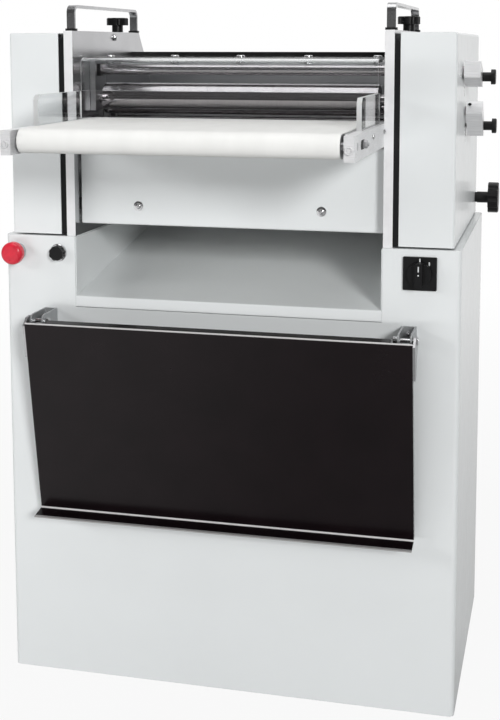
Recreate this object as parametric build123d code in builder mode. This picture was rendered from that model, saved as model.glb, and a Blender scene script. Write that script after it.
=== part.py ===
"""Dough moulder: a floor cabinet with an infeed belt, a three-roller head and a fold-down receiving table.

Millimetres. +X is the operator's right, +Y is towards the back, +Z is up. The origin is on the floor, at the
centre of the cabinet's footprint.
"""

import os
from math import cos, radians, sin, tan

from build123d import *

os.makedirs("parts", exist_ok=True)

# Cabinet: the belt's width sets the width of the recess, and the bays on each side of it add up to the cabinet
belt_width = 500.0
belt_margin = 23.0
side_bay = 131.0
cabinet_depth = 494.0
cabinet_height = 807.0
sheet = 2.0
corner_radius = 8.0
wrap_split = 250.0
seam_gap = 1.0
base_flange = 40.0

# Fits
running_fit = 0.05
clearance = 0.3
belt_clearance = 0.3

# Recess and chute
sill_drop = 106.0
lip_height = 19.0
chute_slope = 10.0
chute_bend = 60.0

# Side plates
plate_thickness = 16.0
plate_front_inset = 5.0
plate_rear_inset = 6.0
plate_top_inset = 142.0
plate_slant_drop = 181.0

# Covers and seals
seal_width = 10.0
seal_depth = 6.0
seal_inset = 2.5
cover_top_drop = 4.0
cover_front_inset = 4.0
cover_side_inset = 13.0
cover_foot_gap = 3.0
cover_round = 5.0

# Infeed conveyor
belt_thickness = 2.0
belt_rise = 208.0
belt_nose_radius = 19.0
nose_overhang = 260.0
bar_thickness = 16.0
bar_height = 38.0
bar_drop = 2.0
bar_nose_length = 26.0
bar_rear_overlap = 70.0
feed_axle_radius = 6.0
transfer_gap = 13.0
guide_thickness = 8.0
guide_height = 50.0
guide_length = 184.0
guide_corner = 8.0
guide_inset = 3.5
bed_lip = 12.0
bed_margin = 4.0

# Sheeting rollers
roller_radius = 28.0
roller_setback = 112.0
roller_gap = 5.0
roller_wall = 7.0
roller_end = 16.0
roller_vent = 2.5
nip_drop = 1.0
journal_radius = 10.0
bearing_radius = 23.5
bearing_width = 14.0

# Long-tooth gears between the rollers
gear_teeth = 16
gear_addendum = 3.0
gear_dedendum = 6.7
gear_tip_width = 2.4
gear_root_width = 4.4
gear_width = 18.0
gear_margin = 4.0

# Gap shafts with eccentrics, and the hangers that they move
gap_eccentricity = 6.0
gap_cam_radius = 12.0
gap_swing = 30.0
cam_clearance = 0.4
hanger_thickness = 10.0
hanger_wall = 8.0
hanger_gap = 0.5
hanger_bush_radius = 14.0
upper_shaft_rise = 52.0
upper_shaft_radius = 10.0
rear_shaft_rise = 42.0
rear_shaft_radius = 10.0
gap_journal_radius = 8.0

# Gap levers and index plungers, on the right-hand cover
lever_gap = 3.0
lever_thickness = 28.0
lever_width = 30.0
lever_length = 60.0
lever_head = 10.0
lever_edge = 1.5
upper_lever_angle = -17.0
rear_lever_angle = -46.0
plunger_reach = 38.0
plunger_radius = 4.0
plunger_stem_radius = 8.0
plunger_stem = 14.5
plunger_knob_radius = 13.0
plunger_knob = 8.0
plunger_relief = 0.4
index_radius = 2.5
index_count = 7

# Moulding belt, pressure board and lifting shaft
mould_roller_radius = 20.0
mould_belt_thickness = 2.0
mould_rise = 43.0
mould_front_setback = 98.0
mould_rear_inset = 124.0
mould_journal_radius = 8.0
mould_bearing_radius = 16.0
mould_bearing_width = 10.0
board_thickness = 10.0
board_gap = 23.0
board_start = 190.0
board_overhang = 10.0
board_arm_height = 26.0
lift_inset = 32.0
lift_rise = 35.0
lift_shaft_radius = 10.0
lift_eccentricity = 12.0
lift_cam_radius = 14.0

# Hand knob of the lifting shaft
knob_collar_radius = 10.0
knob_collar = 4.0
knob_stem_radius = 11.0
knob_stem = 22.0
knob_radius = 30.0
knob_thickness = 20.0
knob_flutes = 8
knob_flute_radius = 7.0
knob_edge = 1.5

# Apron, rail, rear cover and tie bar
apron_setback = 30.0
apron_foot_rise = 20.0
apron_bar_gap = 5.0
apron_side_gap = 3.0
apron_fold = 14.0
apron_screw_rise = 34.0
rail_size = 18.0
rear_cover_rise = 136.0
tie_inset = 172.0
tie_drop = 41.0
tie_height = 7.0
tie_depth = 24.0

# Handles
handle_thickness = 5.0
handle_width = 15.0
handle_front = 22.0
handle_rear_gap = 7.0
handle_rise = 45.0
handle_bend = 12.0

# Roller guard and its clamps
guard_thickness = 4.0
guard_margin = 12.0
guard_setback = 12.0
guard_depth = 56.0
guard_bend = 12.0
guard_slope = 1.5
guard_bar_setback = 252.0
guard_bar_width = 20.0
guard_bar_height = 8.0
guard_rise = 16.0
guard_drop = 52.0
guard_pin_radius = 4.0
star_radius = 20.5
star_height = 14.0
star_stem_radius = 10.5
star_stem = 13.0
star_lobes = 6
star_scallop = 6.0
star_stud_radius = 4.0

# Drive
pulley_radius = 18.0
pulley_width = 12.0
pulley_lane_gap = 8.0
pulley_flange = 3.0
pulley_margin = 14.0
transfer_thickness = 2.5
main_pulley_radius = 50.0
main_belt_thickness = 4.0
main_belt_width = 16.0
main_belt_margin = 22.0
motor_pulley_radius = 25.0
motor_inset = 194.0
motor_z = 150.0
motor_radius = 70.0
motor_length = 210.0
motor_flange = 4.0
motor_flange_width = 12.0
gearbox_length = 90.0
gearbox_half = 62.0
motor_shaft_radius = 12.0
motor_foot_thickness = 10.0
motor_foot_reach = 24.0

# Controls on the front
estop_inset = 22.0
estop_drop = 30.5
estop_radius = 20.0
estop_head = 15.0
estop_travel = 4.5
estop_collar_radius = 16.0
estop_collar = 11.0
start_inset = 100.5
start_drop = 29.5
start_bezel_radius = 15.5
start_bezel = 5.0
start_cap_radius = 13.0
start_cap = 11.0
start_lobes = 8
start_scallop = 5.0
start_travel = 3.0
switch_inset = 68.0
switch_drop = 40.0
switch_size = 56.0
switch_plate = 4.0
switch_dial_radius = 20.0
switch_dial = 8.0
switch_grip = 14.0
switch_grip_width = 12.0
switch_grip_length = 40.0
control_bore = 11.0
control_stem = 5.0
contact_width = 24.0
contact_height = 34.0
contact_depth = 46.0

# Receiving table
table_inset = 69.0
table_length = 356.0
table_sheet = 2.0
table_bend = 3.0
table_lean = 9.1
table_standoff = 27.0
table_head = 6.0
table_flange = 17.0
table_rim = 33.0
table_side = 12.0
hinge_setout = 54.0
hinge_drop = 36.0
bracket_width = 24.0
bracket_gap = 1.0
bracket_sheet = 3.0
bracket_ear = 12.5
bracket_foot = 3.0
bracket_notch = 10.0
pin_radius = 4.0
pin_head_radius = 6.4
pin_head = 2.0
pin_knob = 8.0
arm_thickness = 4.0
arm_width = 20.0
arm_length = 58.0

# Rear
vent_count = 7
vent_length = 120.0
vent_width = 6.0
vent_pitch = 18.0
vent_drop = 247.0
gland_inset = 100.0
gland_z = 90.0
gland_radius = 11.0
gland_nut = 15.0
gland_reach = 16.0
box_width = 56.0
box_length = 200.0
box_height = 260.0
box_drop = 247.0

# Places that follow from the sizes above
half_belt = belt_width / 2
half_clear = half_belt + belt_margin
half_width = half_clear + side_bay
front = -cabinet_depth / 2
rear = cabinet_depth / 2
inner_width = 2 * (half_width - sheet)
inner_depth = cabinet_depth - 2 * sheet
inner_radius = corner_radius - sheet / 2
sill_height = cabinet_height - sill_drop

plate_outer = half_clear + plate_thickness
plate_middle = half_clear + plate_thickness / 2
plate_front = front + plate_front_inset
plate_rear = rear - plate_rear_inset
plate_crest = rear - plate_top_inset
cover_inner = plate_outer + seal_width
cover_outer = half_width - cover_side_inset
cover_foot = cabinet_height + cover_foot_gap

belt_top = cabinet_height + belt_rise
feed_axis_z = belt_top - belt_nose_radius
feed_roller_radius = belt_nose_radius - belt_thickness - belt_clearance
nose_y = front - nose_overhang
bar_top = belt_top - bar_drop

roller_pitch = 2 * roller_radius + roller_gap
centre_y = front + roller_setback
centre_z = belt_top - nip_drop - roller_radius
upper_z = centre_z + roller_pitch
rear_roller_y = centre_y + roller_pitch
feed_y = centre_y - roller_radius - transfer_gap - belt_nose_radius
gear_outer_radius = roller_pitch / 2 + gear_addendum
gear_root_radius = roller_pitch / 2 - gear_dedendum
gear_start = plate_outer + gear_margin

hanger_outer = half_clear - hanger_gap
hanger_inner = hanger_outer - hanger_thickness
gap_travel = gap_eccentricity * radians(gap_swing)
upper_shaft_z = upper_z + upper_shaft_rise
rear_shaft_z = centre_z + rear_shaft_rise
lever_start = cover_outer + lever_gap
lever_end = lever_start + lever_thickness

guard_bar_y = front + guard_bar_setback
guard_bar_z = upper_shaft_z + guard_rise
guard_half = half_clear - guard_margin
plate_top = guard_bar_z + guard_drop
plate_slant_height = plate_top - plate_slant_drop
cover_top = plate_top - cover_top_drop

mould_outer = mould_roller_radius + mould_belt_thickness + belt_clearance
mould_axis_z = cabinet_height + mould_rise
mould_front_y = front + mould_front_setback
mould_rear_y = rear - mould_rear_inset
lift_y = rear - lift_inset
lift_z = cabinet_height + lift_rise
board_z = mould_axis_z + mould_outer + board_gap

first_lane = plate_outer + pulley_margin
second_lane = first_lane + pulley_width + pulley_lane_gap
pulley_end = second_lane + pulley_width + pulley_flange
main_lane = -(gear_start + gear_width + main_belt_margin)
main_start = main_lane - main_belt_width
motor_y = rear - motor_inset

estop_x = estop_inset - half_width
estop_z = cabinet_height - estop_drop
start_x = start_inset - half_width
start_z = cabinet_height - start_drop
switch_x = half_width - switch_inset
switch_z = cabinet_height - switch_drop

table_half_width = half_width - table_inset
hinge_y = front - hinge_setout
hinge_z = sill_height - hinge_drop
bracket_inner = table_half_width - table_sheet - bracket_gap - bracket_width
table_notch = bracket_inner - bracket_notch

vent_z = cabinet_height - vent_drop
box_z = cabinet_height - box_drop
gland_x = half_width - gland_inset


def rod(radius, start, end, y, z, mode=Mode.ADD):
    """Round bar along X, from start to end."""
    with Locations(Location(((start + end) / 2, y, z), (0, 90, 0))):
        Cylinder(radius, end - start, mode=mode)


def stud(radius, x, start, end, z, mode=Mode.ADD):
    """Round bar along Y, from start to end."""
    with Locations(Location((x, (start + end) / 2, z), (90, 0, 0))):
        Cylinder(radius, end - start, mode=mode)


def block(x_span, y_span, z_span, mode=Mode.ADD):
    """Rectangular block between two corners."""
    low = (x_span[0], y_span[0], z_span[0])
    with Locations(low):
        Box(
            x_span[1] - x_span[0],
            y_span[1] - y_span[0],
            z_span[1] - z_span[0],
            align=(Align.MIN, Align.MIN, Align.MIN),
            mode=mode,
        )


def folded(points, bend, thickness, start, end):
    """Sheet folded along a path of (y, z) points, from start to end along X."""
    with BuildSketch(Plane.YZ.offset(start)) as section:
        with BuildLine():
            FilletPolyline(*points, radius=bend)
        trace(line_width=thickness)
    extrude(section.sketch, amount=end - start)


def slab(points, start, end, mode=Mode.ADD):
    """Flat plate with an outline of (y, z) points, from start to end along X."""
    with BuildSketch(Plane.YZ.offset(start)) as outline:
        Polygon(*points, align=None)
    extrude(outline.sketch, amount=end - start, mode=mode)


def slot_hole(y, z, radius, travel, upright, start, end):
    """Slotted hole through a plate, long enough for a bush that travels both ways."""
    with BuildSketch(Plane.YZ.offset(start)) as outline:
        with Locations(Location((y, z), 90 if upright else 0)):
            SlotCenterToCenter(2 * travel, 2 * radius)
    extrude(outline.sketch, amount=end - start, mode=Mode.SUBTRACT)


def loop(first, second, first_radius, second_radius, thickness, start, end):
    """Endless belt round two axes at (y, z): the outer hull less the inner hull."""
    for grow, mode in ((thickness, Mode.ADD), (0.0, Mode.SUBTRACT)):
        with BuildSketch(Plane.YZ.offset(start)) as outline:
            with Locations(first):
                Circle(first_radius + grow)
            with Locations(second):
                Circle(second_radius + grow)
            make_hull()
        extrude(outline.sketch, amount=end - start, mode=mode)


def gear(y, z, first_tooth):
    """Long-tooth spur gear in the left-hand cover, bored for its journal."""
    root = gear_root_radius - clearance
    tall = gear_outer_radius - root
    with BuildSketch(Plane.YZ.offset(-gear_start - gear_width)) as outline:
        with Locations((y, z)):
            Circle(gear_root_radius)
            with PolarLocations(root, gear_teeth, start_angle=first_tooth):
                Polygon(
                    (0, -gear_root_width / 2),
                    (tall, -gear_tip_width / 2),
                    (tall, gear_tip_width / 2),
                    (0, gear_root_width / 2),
                    align=None,
                )
            Circle(journal_radius, mode=Mode.SUBTRACT)
    extrude(outline.sketch, amount=gear_width)


def pulley(radius, width, bore, start, y, z):
    """Flat-belt pulley with a flange on each side of its belt lane."""
    lane = (start - clearance, start + width + clearance)
    rings = (
        (radius, lane[0], lane[1]),
        (radius + pulley_flange, start - pulley_flange, lane[0]),
        (radius + pulley_flange, lane[1], start + width + pulley_flange),
    )
    for ring_radius, low, high in rings:
        with BuildSketch(Plane.YZ.offset(low)) as ring:
            with Locations((y, z)):
                Circle(ring_radius)
                Circle(bore, mode=Mode.SUBTRACT)
        extrude(ring.sketch, amount=high - low)


def keep(piece, name):
    """Name a finished piece and write it."""
    piece.part.label = name
    export_step(piece.part, f"parts/{name}.step")


# Base tray: the flat face that stands on the floor
with BuildPart() as base_tray:
    with BuildSketch() as tray_plan:
        RectangleRounded(inner_width, inner_depth, inner_radius)
    extrude(amount=base_flange)
    offset(amount=-sheet, openings=base_tray.faces().sort_by(Axis.Z)[-1])
keep(base_tray, "base_tray")

# Front wrap: front wall with rounded corners and half of each side wall, cut out for the recess
with BuildPart() as front_wrap:
    with BuildSketch() as wrap_plan:
        with BuildLine():
            FilletPolyline(
                (-half_width + sheet / 2, front + wrap_split),
                (-half_width + sheet / 2, front + sheet / 2),
                (half_width - sheet / 2, front + sheet / 2),
                (half_width - sheet / 2, front + wrap_split),
                radius=corner_radius,
            )
        trace(line_width=sheet)
    extrude(amount=cabinet_height)
    block(
        (-half_clear, half_clear),
        (front - sheet, front + 2 * sheet),
        (sill_height - lip_height - seam_gap, cabinet_height + sheet),
        Mode.SUBTRACT,
    )
    for control_x, control_z in ((estop_x, estop_z), (start_x, start_z), (switch_x, switch_z)):
        stud(control_bore, control_x, front - sheet, front + 2 * sheet, control_z, Mode.SUBTRACT)
keep(front_wrap, "front_wrap")

# Rear wrap: back wall with vent slots and the other half of each side wall
with BuildPart() as rear_wrap:
    with BuildSketch() as wrap_plan:
        with BuildLine():
            FilletPolyline(
                (-half_width + sheet / 2, front + wrap_split + seam_gap),
                (-half_width + sheet / 2, rear - sheet / 2),
                (half_width - sheet / 2, rear - sheet / 2),
                (half_width - sheet / 2, front + wrap_split + seam_gap),
                radius=corner_radius,
            )
        trace(line_width=sheet)
    extrude(amount=cabinet_height)
    with BuildSketch(Plane.XZ.offset(-rear)) as vents:
        with Locations((0, vent_z)):
            with GridLocations(2 * vent_length, vent_pitch, 2, vent_count):
                SlotOverall(vent_length, vent_width)
    extrude(amount=2 * sheet, mode=Mode.SUBTRACT)
    stud(gland_radius, gland_x, rear - 2 * sheet, rear + sheet, gland_z, Mode.SUBTRACT)
keep(rear_wrap, "rear_wrap")

# Main belt geometry, needed for the slot in the left-hand deck
belt_drop = (centre_z - cabinet_height) / (centre_z - motor_z)
deck_slot_y = centre_y + (motor_y - centre_y) * belt_drop
deck_slot_half = main_pulley_radius + 4 * main_belt_thickness

# Top decks: the cabinet's lid on each side of the recess
with BuildPart() as top_decks:
    with BuildSketch(Plane.XY.offset(cabinet_height - sheet)) as deck_plan:
        RectangleRounded(inner_width, inner_depth, inner_radius)
        Rectangle(2 * half_clear, cabinet_depth, mode=Mode.SUBTRACT)
        with Locations((main_start + main_belt_width / 2, deck_slot_y)):
            Rectangle(main_belt_width + 4 * pulley_flange, 2 * deck_slot_half, mode=Mode.SUBTRACT)
    extrude(amount=sheet)
keep(top_decks, "top_decks")

# Chute: a welded pan that falls to the front and ends in the lip over the recess
chute_end = rear - 2 * sheet
chute_rise = (chute_end - chute_bend - front) * tan(radians(chute_slope))
cheek_foot = sill_height - lip_height
deck_underside = cabinet_height - sheet
with BuildPart() as chute:
    folded(
        (
            (front + sheet / 2, cheek_foot),
            (front + sheet / 2, sill_height - sheet / 2),
            (chute_end - chute_bend, sill_height - sheet / 2 + chute_rise),
            (chute_end - sheet, deck_underside),
        ),
        (sheet, chute_bend / 2),
        sheet,
        -half_clear + clearance / 2,
        half_clear - clearance / 2,
    )
    for start in (-half_clear, half_clear - sheet):
        slab(
            (
                (front + sheet, cheek_foot),
                (chute_end, cheek_foot + chute_rise),
                (chute_end, deck_underside),
                (front + sheet, deck_underside),
            ),
            start,
            start + sheet,
        )
keep(chute, "chute")

# Side plates: a pair with the same bores, standing on the decks
plate_outline = (
    (plate_front, cabinet_height),
    (plate_rear, cabinet_height),
    (plate_rear, plate_slant_height),
    (plate_crest, plate_top),
    (plate_front, plate_top),
)
round_bores = (
    (centre_y, centre_z, bearing_radius),
    (mould_front_y, mould_axis_z, mould_bearing_radius),
    (mould_rear_y, mould_axis_z, mould_bearing_radius),
    (feed_y, feed_axis_z, feed_axle_radius + 2 * clearance),
    (centre_y, upper_shaft_z, gap_journal_radius + running_fit),
    (rear_roller_y, rear_shaft_z, gap_journal_radius + running_fit),
    (lift_y, lift_z, gap_journal_radius + running_fit),
    (guard_bar_y, guard_bar_z, guard_pin_radius + running_fit),
)
bush_hole = hanger_bush_radius + clearance
with BuildPart() as side_plates:
    for start in (-plate_outer, half_clear):
        end = start + plate_thickness
        slab(plate_outline, start, end)
        for bore_y, bore_z, bore_radius in round_bores:
            rod(bore_radius, start, end, bore_y, bore_z, Mode.SUBTRACT)
        slot_hole(centre_y, upper_z, bush_hole, gap_travel, True, start, end)
        slot_hole(rear_roller_y, centre_z, bush_hole, gap_travel, False, start, end)
        with Locations(((start + end) / 2, guard_bar_y, (guard_bar_z + plate_top) / 2)):
            Cylinder(star_stud_radius + running_fit, plate_top - guard_bar_z, mode=Mode.SUBTRACT)
keep(side_plates, "side_plates")

# Covers: folded boxes, open towards the side plates and below; the left one follows the slant of its plate
cover_front = front + cover_front_inset
cover_outlines = {
    "left": (
        (cover_front, cover_foot),
        (cover_front, cover_top),
        (plate_crest, cover_top),
        (rear, plate_slant_height),
        (rear, cover_foot),
    ),
    "right": ((cover_front, cover_foot), (cover_front, cover_top), (rear, cover_top), (rear, cover_foot)),
}
shaft_holes = (
    (centre_y, upper_shaft_z, upper_lever_angle),
    (rear_roller_y, rear_shaft_z, rear_lever_angle),
    (lift_y, lift_z, None),
)
for side, sign in (("left", -1), ("right", 1)):
    near = sign * cover_inner
    far = sign * cover_outer
    with BuildPart() as cover:
        slab(cover_outlines[side], min(near, far), max(near, far))
        outer_side = cover.faces().sort_by(Axis.X)[-1 if sign > 0 else 0]
        rounded = outer_side.edges().filter_by(lambda edge: edge.center().Z > cover_foot + sheet)
        fillet(rounded, radius=cover_round)
        open_side = cover.faces().sort_by(Axis.X)[0 if sign > 0 else -1]
        open_foot = cover.faces().sort_by(Axis.Z)[0]
        offset(amount=-sheet, openings=[open_side, open_foot])
        if sign > 0:
            for hole_y, hole_z, lever_angle in shaft_holes:
                rod(
                    gap_journal_radius + running_fit,
                    far - 2 * sheet,
                    far + sheet,
                    hole_y,
                    hole_z,
                    Mode.SUBTRACT,
                )
                if lever_angle is None:
                    continue
                for step in range(index_count):
                    swing = gap_swing * (2 * step / (index_count - 1) - 1)
                    turn = radians(lever_angle + swing)
                    rod(
                        index_radius,
                        far - 2 * sheet,
                        far + sheet,
                        hole_y + plunger_reach * cos(turn),
                        hole_z + plunger_reach * sin(turn),
                        Mode.SUBTRACT,
                    )
    keep(cover, f"{side}_cover")

# Seals: black rubber strips that close the joint between plate and cover at the front, top and rear
seal_front = cover_front + seal_inset + seal_depth / 2
seal_top = cover_top - seal_inset - seal_depth / 2
seal_rear_top = plate_crest - seal_depth
with BuildPart() as cover_seals:
    for start in (-cover_inner, plate_outer):
        folded(
            (
                (seal_front, cover_foot),
                (seal_front, seal_top),
                (seal_rear_top, seal_top),
                (plate_rear - seal_depth, plate_slant_height - seal_depth),
                (plate_rear - seal_depth, cover_foot),
            ),
            2 * seal_depth,
            seal_depth,
            start,
            start + seal_width,
        )
keep(cover_seals, "cover_seals")

# Apron under the belt
apron_y = front + apron_setback
apron_foot = cabinet_height + apron_foot_rise
apron_head = bar_top - bar_height - apron_bar_gap
apron_screw_z = apron_foot + apron_screw_rise
apron_half_width = half_clear - apron_side_gap
with BuildPart() as apron:
    folded(
        (
            (apron_y + apron_fold, apron_foot + sheet / 2),
            (apron_y + sheet / 2, apron_foot + sheet / 2),
            (apron_y + sheet / 2, apron_head - sheet / 2),
            (apron_y + apron_fold, apron_head - sheet / 2),
        ),
        sheet,
        sheet,
        -apron_half_width,
        apron_half_width,
    )
keep(apron, "apron")

# Rear cover of the head, folded along the slant of the side plates
cover_line = plate_rear - sheet
slant_run = rear_cover_rise * (plate_rear - plate_crest) / plate_slant_drop
with BuildPart() as rear_cover:
    folded(
        (
            (cover_line, cabinet_height),
            (cover_line, plate_slant_height - sheet),
            (cover_line - slant_run, plate_slant_height + rear_cover_rise),
        ),
        2 * sheet,
        sheet,
        -half_clear,
        half_clear,
    )
keep(rear_cover, "rear_cover")

# Tie bars between the side plates: the square rail behind the apron and the flat bar at the top rear
tie_y = rear - tie_inset
tie_z = plate_top - tie_drop
rail_y = apron_y + sheet
with BuildPart() as tie_bars:
    block(
        (-half_clear, half_clear),
        (rail_y, rail_y + rail_size),
        (apron_screw_z - rail_size / 2, apron_screw_z + rail_size / 2),
    )
    block(
        (-half_clear, half_clear),
        (tie_y - tie_depth / 2, tie_y + tie_depth / 2),
        (tie_z - tie_height / 2, tie_z + tie_height / 2),
    )
keep(tie_bars, "tie_bars")

# Bow handles: flat bars bent over the top edges of the side plates
handle_axis_z = plate_top + handle_rise - handle_thickness / 2
handle_rear = plate_crest - handle_rear_gap
with BuildPart() as bow_handles:
    for sign in (-1, 1):
        folded(
            (
                (front + handle_front, plate_top),
                (front + handle_front, handle_axis_z),
                (handle_rear, handle_axis_z),
                (handle_rear, plate_top),
            ),
            handle_bend,
            handle_thickness,
            sign * plate_middle - handle_width / 2,
            sign * plate_middle + handle_width / 2,
        )
keep(bow_handles, "bow_handles")

# Side bars of the infeed conveyor, bolted to the inner faces of the side plates
with BuildPart() as conveyor_bars:
    for start in (-half_clear, half_clear - bar_thickness):
        block(
            (start, start + bar_thickness),
            (nose_y - bar_nose_length, plate_front + bar_rear_overlap),
            (bar_top - bar_height, bar_top),
        )
        for axle_y in (nose_y, feed_y):
            rod(
                feed_axle_radius + running_fit,
                start,
                start + bar_thickness,
                axle_y,
                feed_axis_z,
                Mode.SUBTRACT,
            )
keep(conveyor_bars, "conveyor_bars")

# Slide beds between the two runs of the infeed belt and of the moulding belt
bed_spans = (
    (nose_y, feed_y, belt_top - belt_thickness - belt_clearance, belt_nose_radius, half_clear - bar_thickness),
    (mould_front_y, mould_rear_y, mould_axis_z + mould_roller_radius, mould_roller_radius, half_clear),
)
with BuildPart() as belt_beds:
    for bed_front, bed_rear, bed_top, bed_clear, bed_half in bed_spans:
        bed_start = bed_front + bed_clear + bed_margin
        bed_end = bed_rear - bed_clear - bed_margin
        folded(
            (
                (bed_start, bed_top - bed_lip),
                (bed_start, bed_top - sheet / 2),
                (bed_end, bed_top - sheet / 2),
                (bed_end, bed_top - bed_lip),
            ),
            2 * sheet,
            sheet,
            -bed_half,
            bed_half,
        )
keep(belt_beds, "belt_beds")

with BuildPart() as feed_belt:
    loop(
        (nose_y, feed_axis_z),
        (feed_y, feed_axis_z),
        belt_nose_radius - belt_thickness,
        belt_nose_radius - belt_thickness,
        belt_thickness,
        -half_belt,
        half_belt,
    )
keep(feed_belt, "feed_belt")

# Rollers of the infeed conveyor: the nose roller's axle ends in the bars, the driven one's in the cover
with BuildPart() as nose_roller:
    rod(feed_roller_radius, -half_belt, half_belt, nose_y, feed_axis_z)
    rod(feed_axle_radius, -half_clear, half_clear, nose_y, feed_axis_z)
keep(nose_roller, "nose_roller")

with BuildPart() as feed_roller:
    rod(feed_roller_radius, -half_belt, half_belt, feed_y, feed_axis_z)
    rod(feed_axle_radius, -half_clear, first_lane + pulley_width + pulley_flange, feed_y, feed_axis_z)
    pulley(pulley_radius, pulley_width, feed_axle_radius + running_fit, first_lane, feed_y, feed_axis_z)
keep(feed_roller, "feed_roller")

# Clear side guides standing on the bars
with BuildPart() as belt_guides:
    for sign in (-1, 1):
        middle = sign * (half_clear - bar_thickness / 2 - guide_inset)
        slab(
            (
                (plate_front - guide_length, bar_top),
                (plate_front, bar_top),
                (plate_front, bar_top + guide_height),
                (plate_front - guide_length + guide_corner, bar_top + guide_height),
                (plate_front - guide_length, bar_top + guide_height - guide_corner),
            ),
            middle - guide_thickness / 2,
            middle + guide_thickness / 2,
        )
keep(belt_guides, "belt_guides")

# Sheeting rollers: plated tubes with closed ends, a vent hole and a journal on each side
def sheeting_roller(y, z, left_end, right_end):
    """Hollow roller at (y, z), with journals out to left_end and right_end."""
    hollow = half_belt - roller_end
    rod(roller_radius, -half_belt, half_belt, y, z)
    rod(roller_radius - roller_wall, -hollow, hollow, y, z, Mode.SUBTRACT)
    rod(roller_vent, 0, half_belt, y, z + (roller_radius - roller_wall + journal_radius) / 2, Mode.SUBTRACT)
    rod(journal_radius, left_end, -hollow, y, z)
    rod(journal_radius, hollow, right_end, y, z)


with BuildPart() as centre_roller:
    sheeting_roller(centre_y, centre_z, main_start - pulley_flange, pulley_end)
keep(centre_roller, "centre_roller")

with BuildPart() as upper_roller:
    sheeting_roller(centre_y, upper_z, -gear_start - gear_width, plate_outer)
keep(upper_roller, "upper_roller")

with BuildPart() as rear_roller:
    sheeting_roller(rear_roller_y, centre_z, -gear_start - gear_width, plate_outer)
keep(rear_roller, "rear_roller")

# Gears: the centre gear has gaps where the teeth of the other two point at it, and shares its journal with the
# main pulley on the left and two transfer pulleys on the right
half_tooth = 180 / gear_teeth
with BuildPart() as centre_drive:
    gear(centre_y, centre_z, half_tooth)
    pulley(main_pulley_radius, main_belt_width, journal_radius, main_start, centre_y, centre_z)
    for lane in (first_lane, second_lane):
        pulley(pulley_radius, pulley_width, journal_radius, lane, centre_y, centre_z)
keep(centre_drive, "centre_drive")

with BuildPart() as upper_gear:
    gear(centre_y, upper_z, 0)
keep(upper_gear, "upper_gear")

with BuildPart() as rear_gear:
    gear(rear_roller_y, centre_z, 0)
keep(rear_gear, "rear_gear")

# Bearings in the side plates for the centre roller and the moulding rollers
bearing_seats = (
    (centre_y, centre_z, bearing_radius, journal_radius, bearing_width),
    (mould_front_y, mould_axis_z, mould_bearing_radius, mould_journal_radius, mould_bearing_width),
    (mould_rear_y, mould_axis_z, mould_bearing_radius, mould_journal_radius, mould_bearing_width),
)
with BuildPart() as roller_bearings:
    for middle in (-plate_middle, plate_middle):
        for seat_y, seat_z, seat_radius, shaft_radius, seat_width in bearing_seats:
            low = middle - seat_width / 2
            high = middle + seat_width / 2
            rod(seat_radius, low, high, seat_y, seat_z)
            rod(shaft_radius + running_fit, low, high, seat_y, seat_z, Mode.SUBTRACT)
keep(roller_bearings, "roller_bearings")

# Hangers: each carries a bush for its roller and a window for the eccentric of its gap shaft
cam_half = gap_cam_radius + cam_clearance
window_half = gap_cam_radius + gap_eccentricity + cam_clearance
for name, hang_y, hang_z, cam_z, upright in (
    ("upper_hangers", centre_y, upper_z, upper_shaft_z, True),
    ("rear_hangers", rear_roller_y, centre_z, rear_shaft_z, False),
):
    half_wide = window_half if upright else cam_half
    half_tall = cam_half if upright else window_half
    plate_half = max(half_wide, hanger_bush_radius) + hanger_wall
    with BuildPart() as hangers:
        for sign in (-1, 1):
            near = sign * hanger_inner
            far = sign * hanger_outer
            low = min(near, far)
            high = max(near, far)
            block(
                (low, high),
                (hang_y - plate_half, hang_y + plate_half),
                (hang_z - hanger_bush_radius - hanger_wall, cam_z + half_tall + hanger_wall),
            )
            block(
                (low, high),
                (hang_y - half_wide, hang_y + half_wide),
                (cam_z - half_tall, cam_z + half_tall),
                Mode.SUBTRACT,
            )
            bush_end = sign * plate_outer
            rod(hanger_bush_radius, min(near, bush_end), max(near, bush_end), hang_y, hang_z)
            rod(
                journal_radius + running_fit,
                min(near, bush_end),
                max(near, bush_end),
                hang_y,
                hang_z,
                Mode.SUBTRACT,
            )
    keep(hangers, name)


def cam_shaft(y, z, body_radius, cam_radius, cam_y, cam_z, right_end):
    """Shaft across the head with an eccentric just inside each side plate."""
    rod(body_radius, -hanger_inner + clearance, hanger_inner - clearance, y, z)
    for sign in (-1, 1):
        near = sign * (hanger_inner - clearance)
        far = sign * hanger_outer
        rod(cam_radius, min(near, far), max(near, far), y + cam_y, z + cam_z)
    rod(gap_journal_radius, -plate_outer, right_end, y, z)


with BuildPart() as upper_gap_shaft:
    cam_shaft(centre_y, upper_shaft_z, upper_shaft_radius, gap_cam_radius, gap_eccentricity, 0, lever_end)
keep(upper_gap_shaft, "upper_gap_shaft")

with BuildPart() as rear_gap_shaft:
    cam_shaft(rear_roller_y, rear_shaft_z, rear_shaft_radius, gap_cam_radius, 0, gap_eccentricity, lever_end)
keep(rear_gap_shaft, "rear_gap_shaft")

knob_start = cover_outer + clearance
knob_end = knob_start + knob_collar + knob_stem + knob_thickness
with BuildPart() as lift_shaft:
    cam_shaft(lift_y, lift_z, lift_shaft_radius, lift_cam_radius, -lift_eccentricity, 0, knob_end - knob_thickness / 2)
keep(lift_shaft, "lift_shaft")

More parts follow.
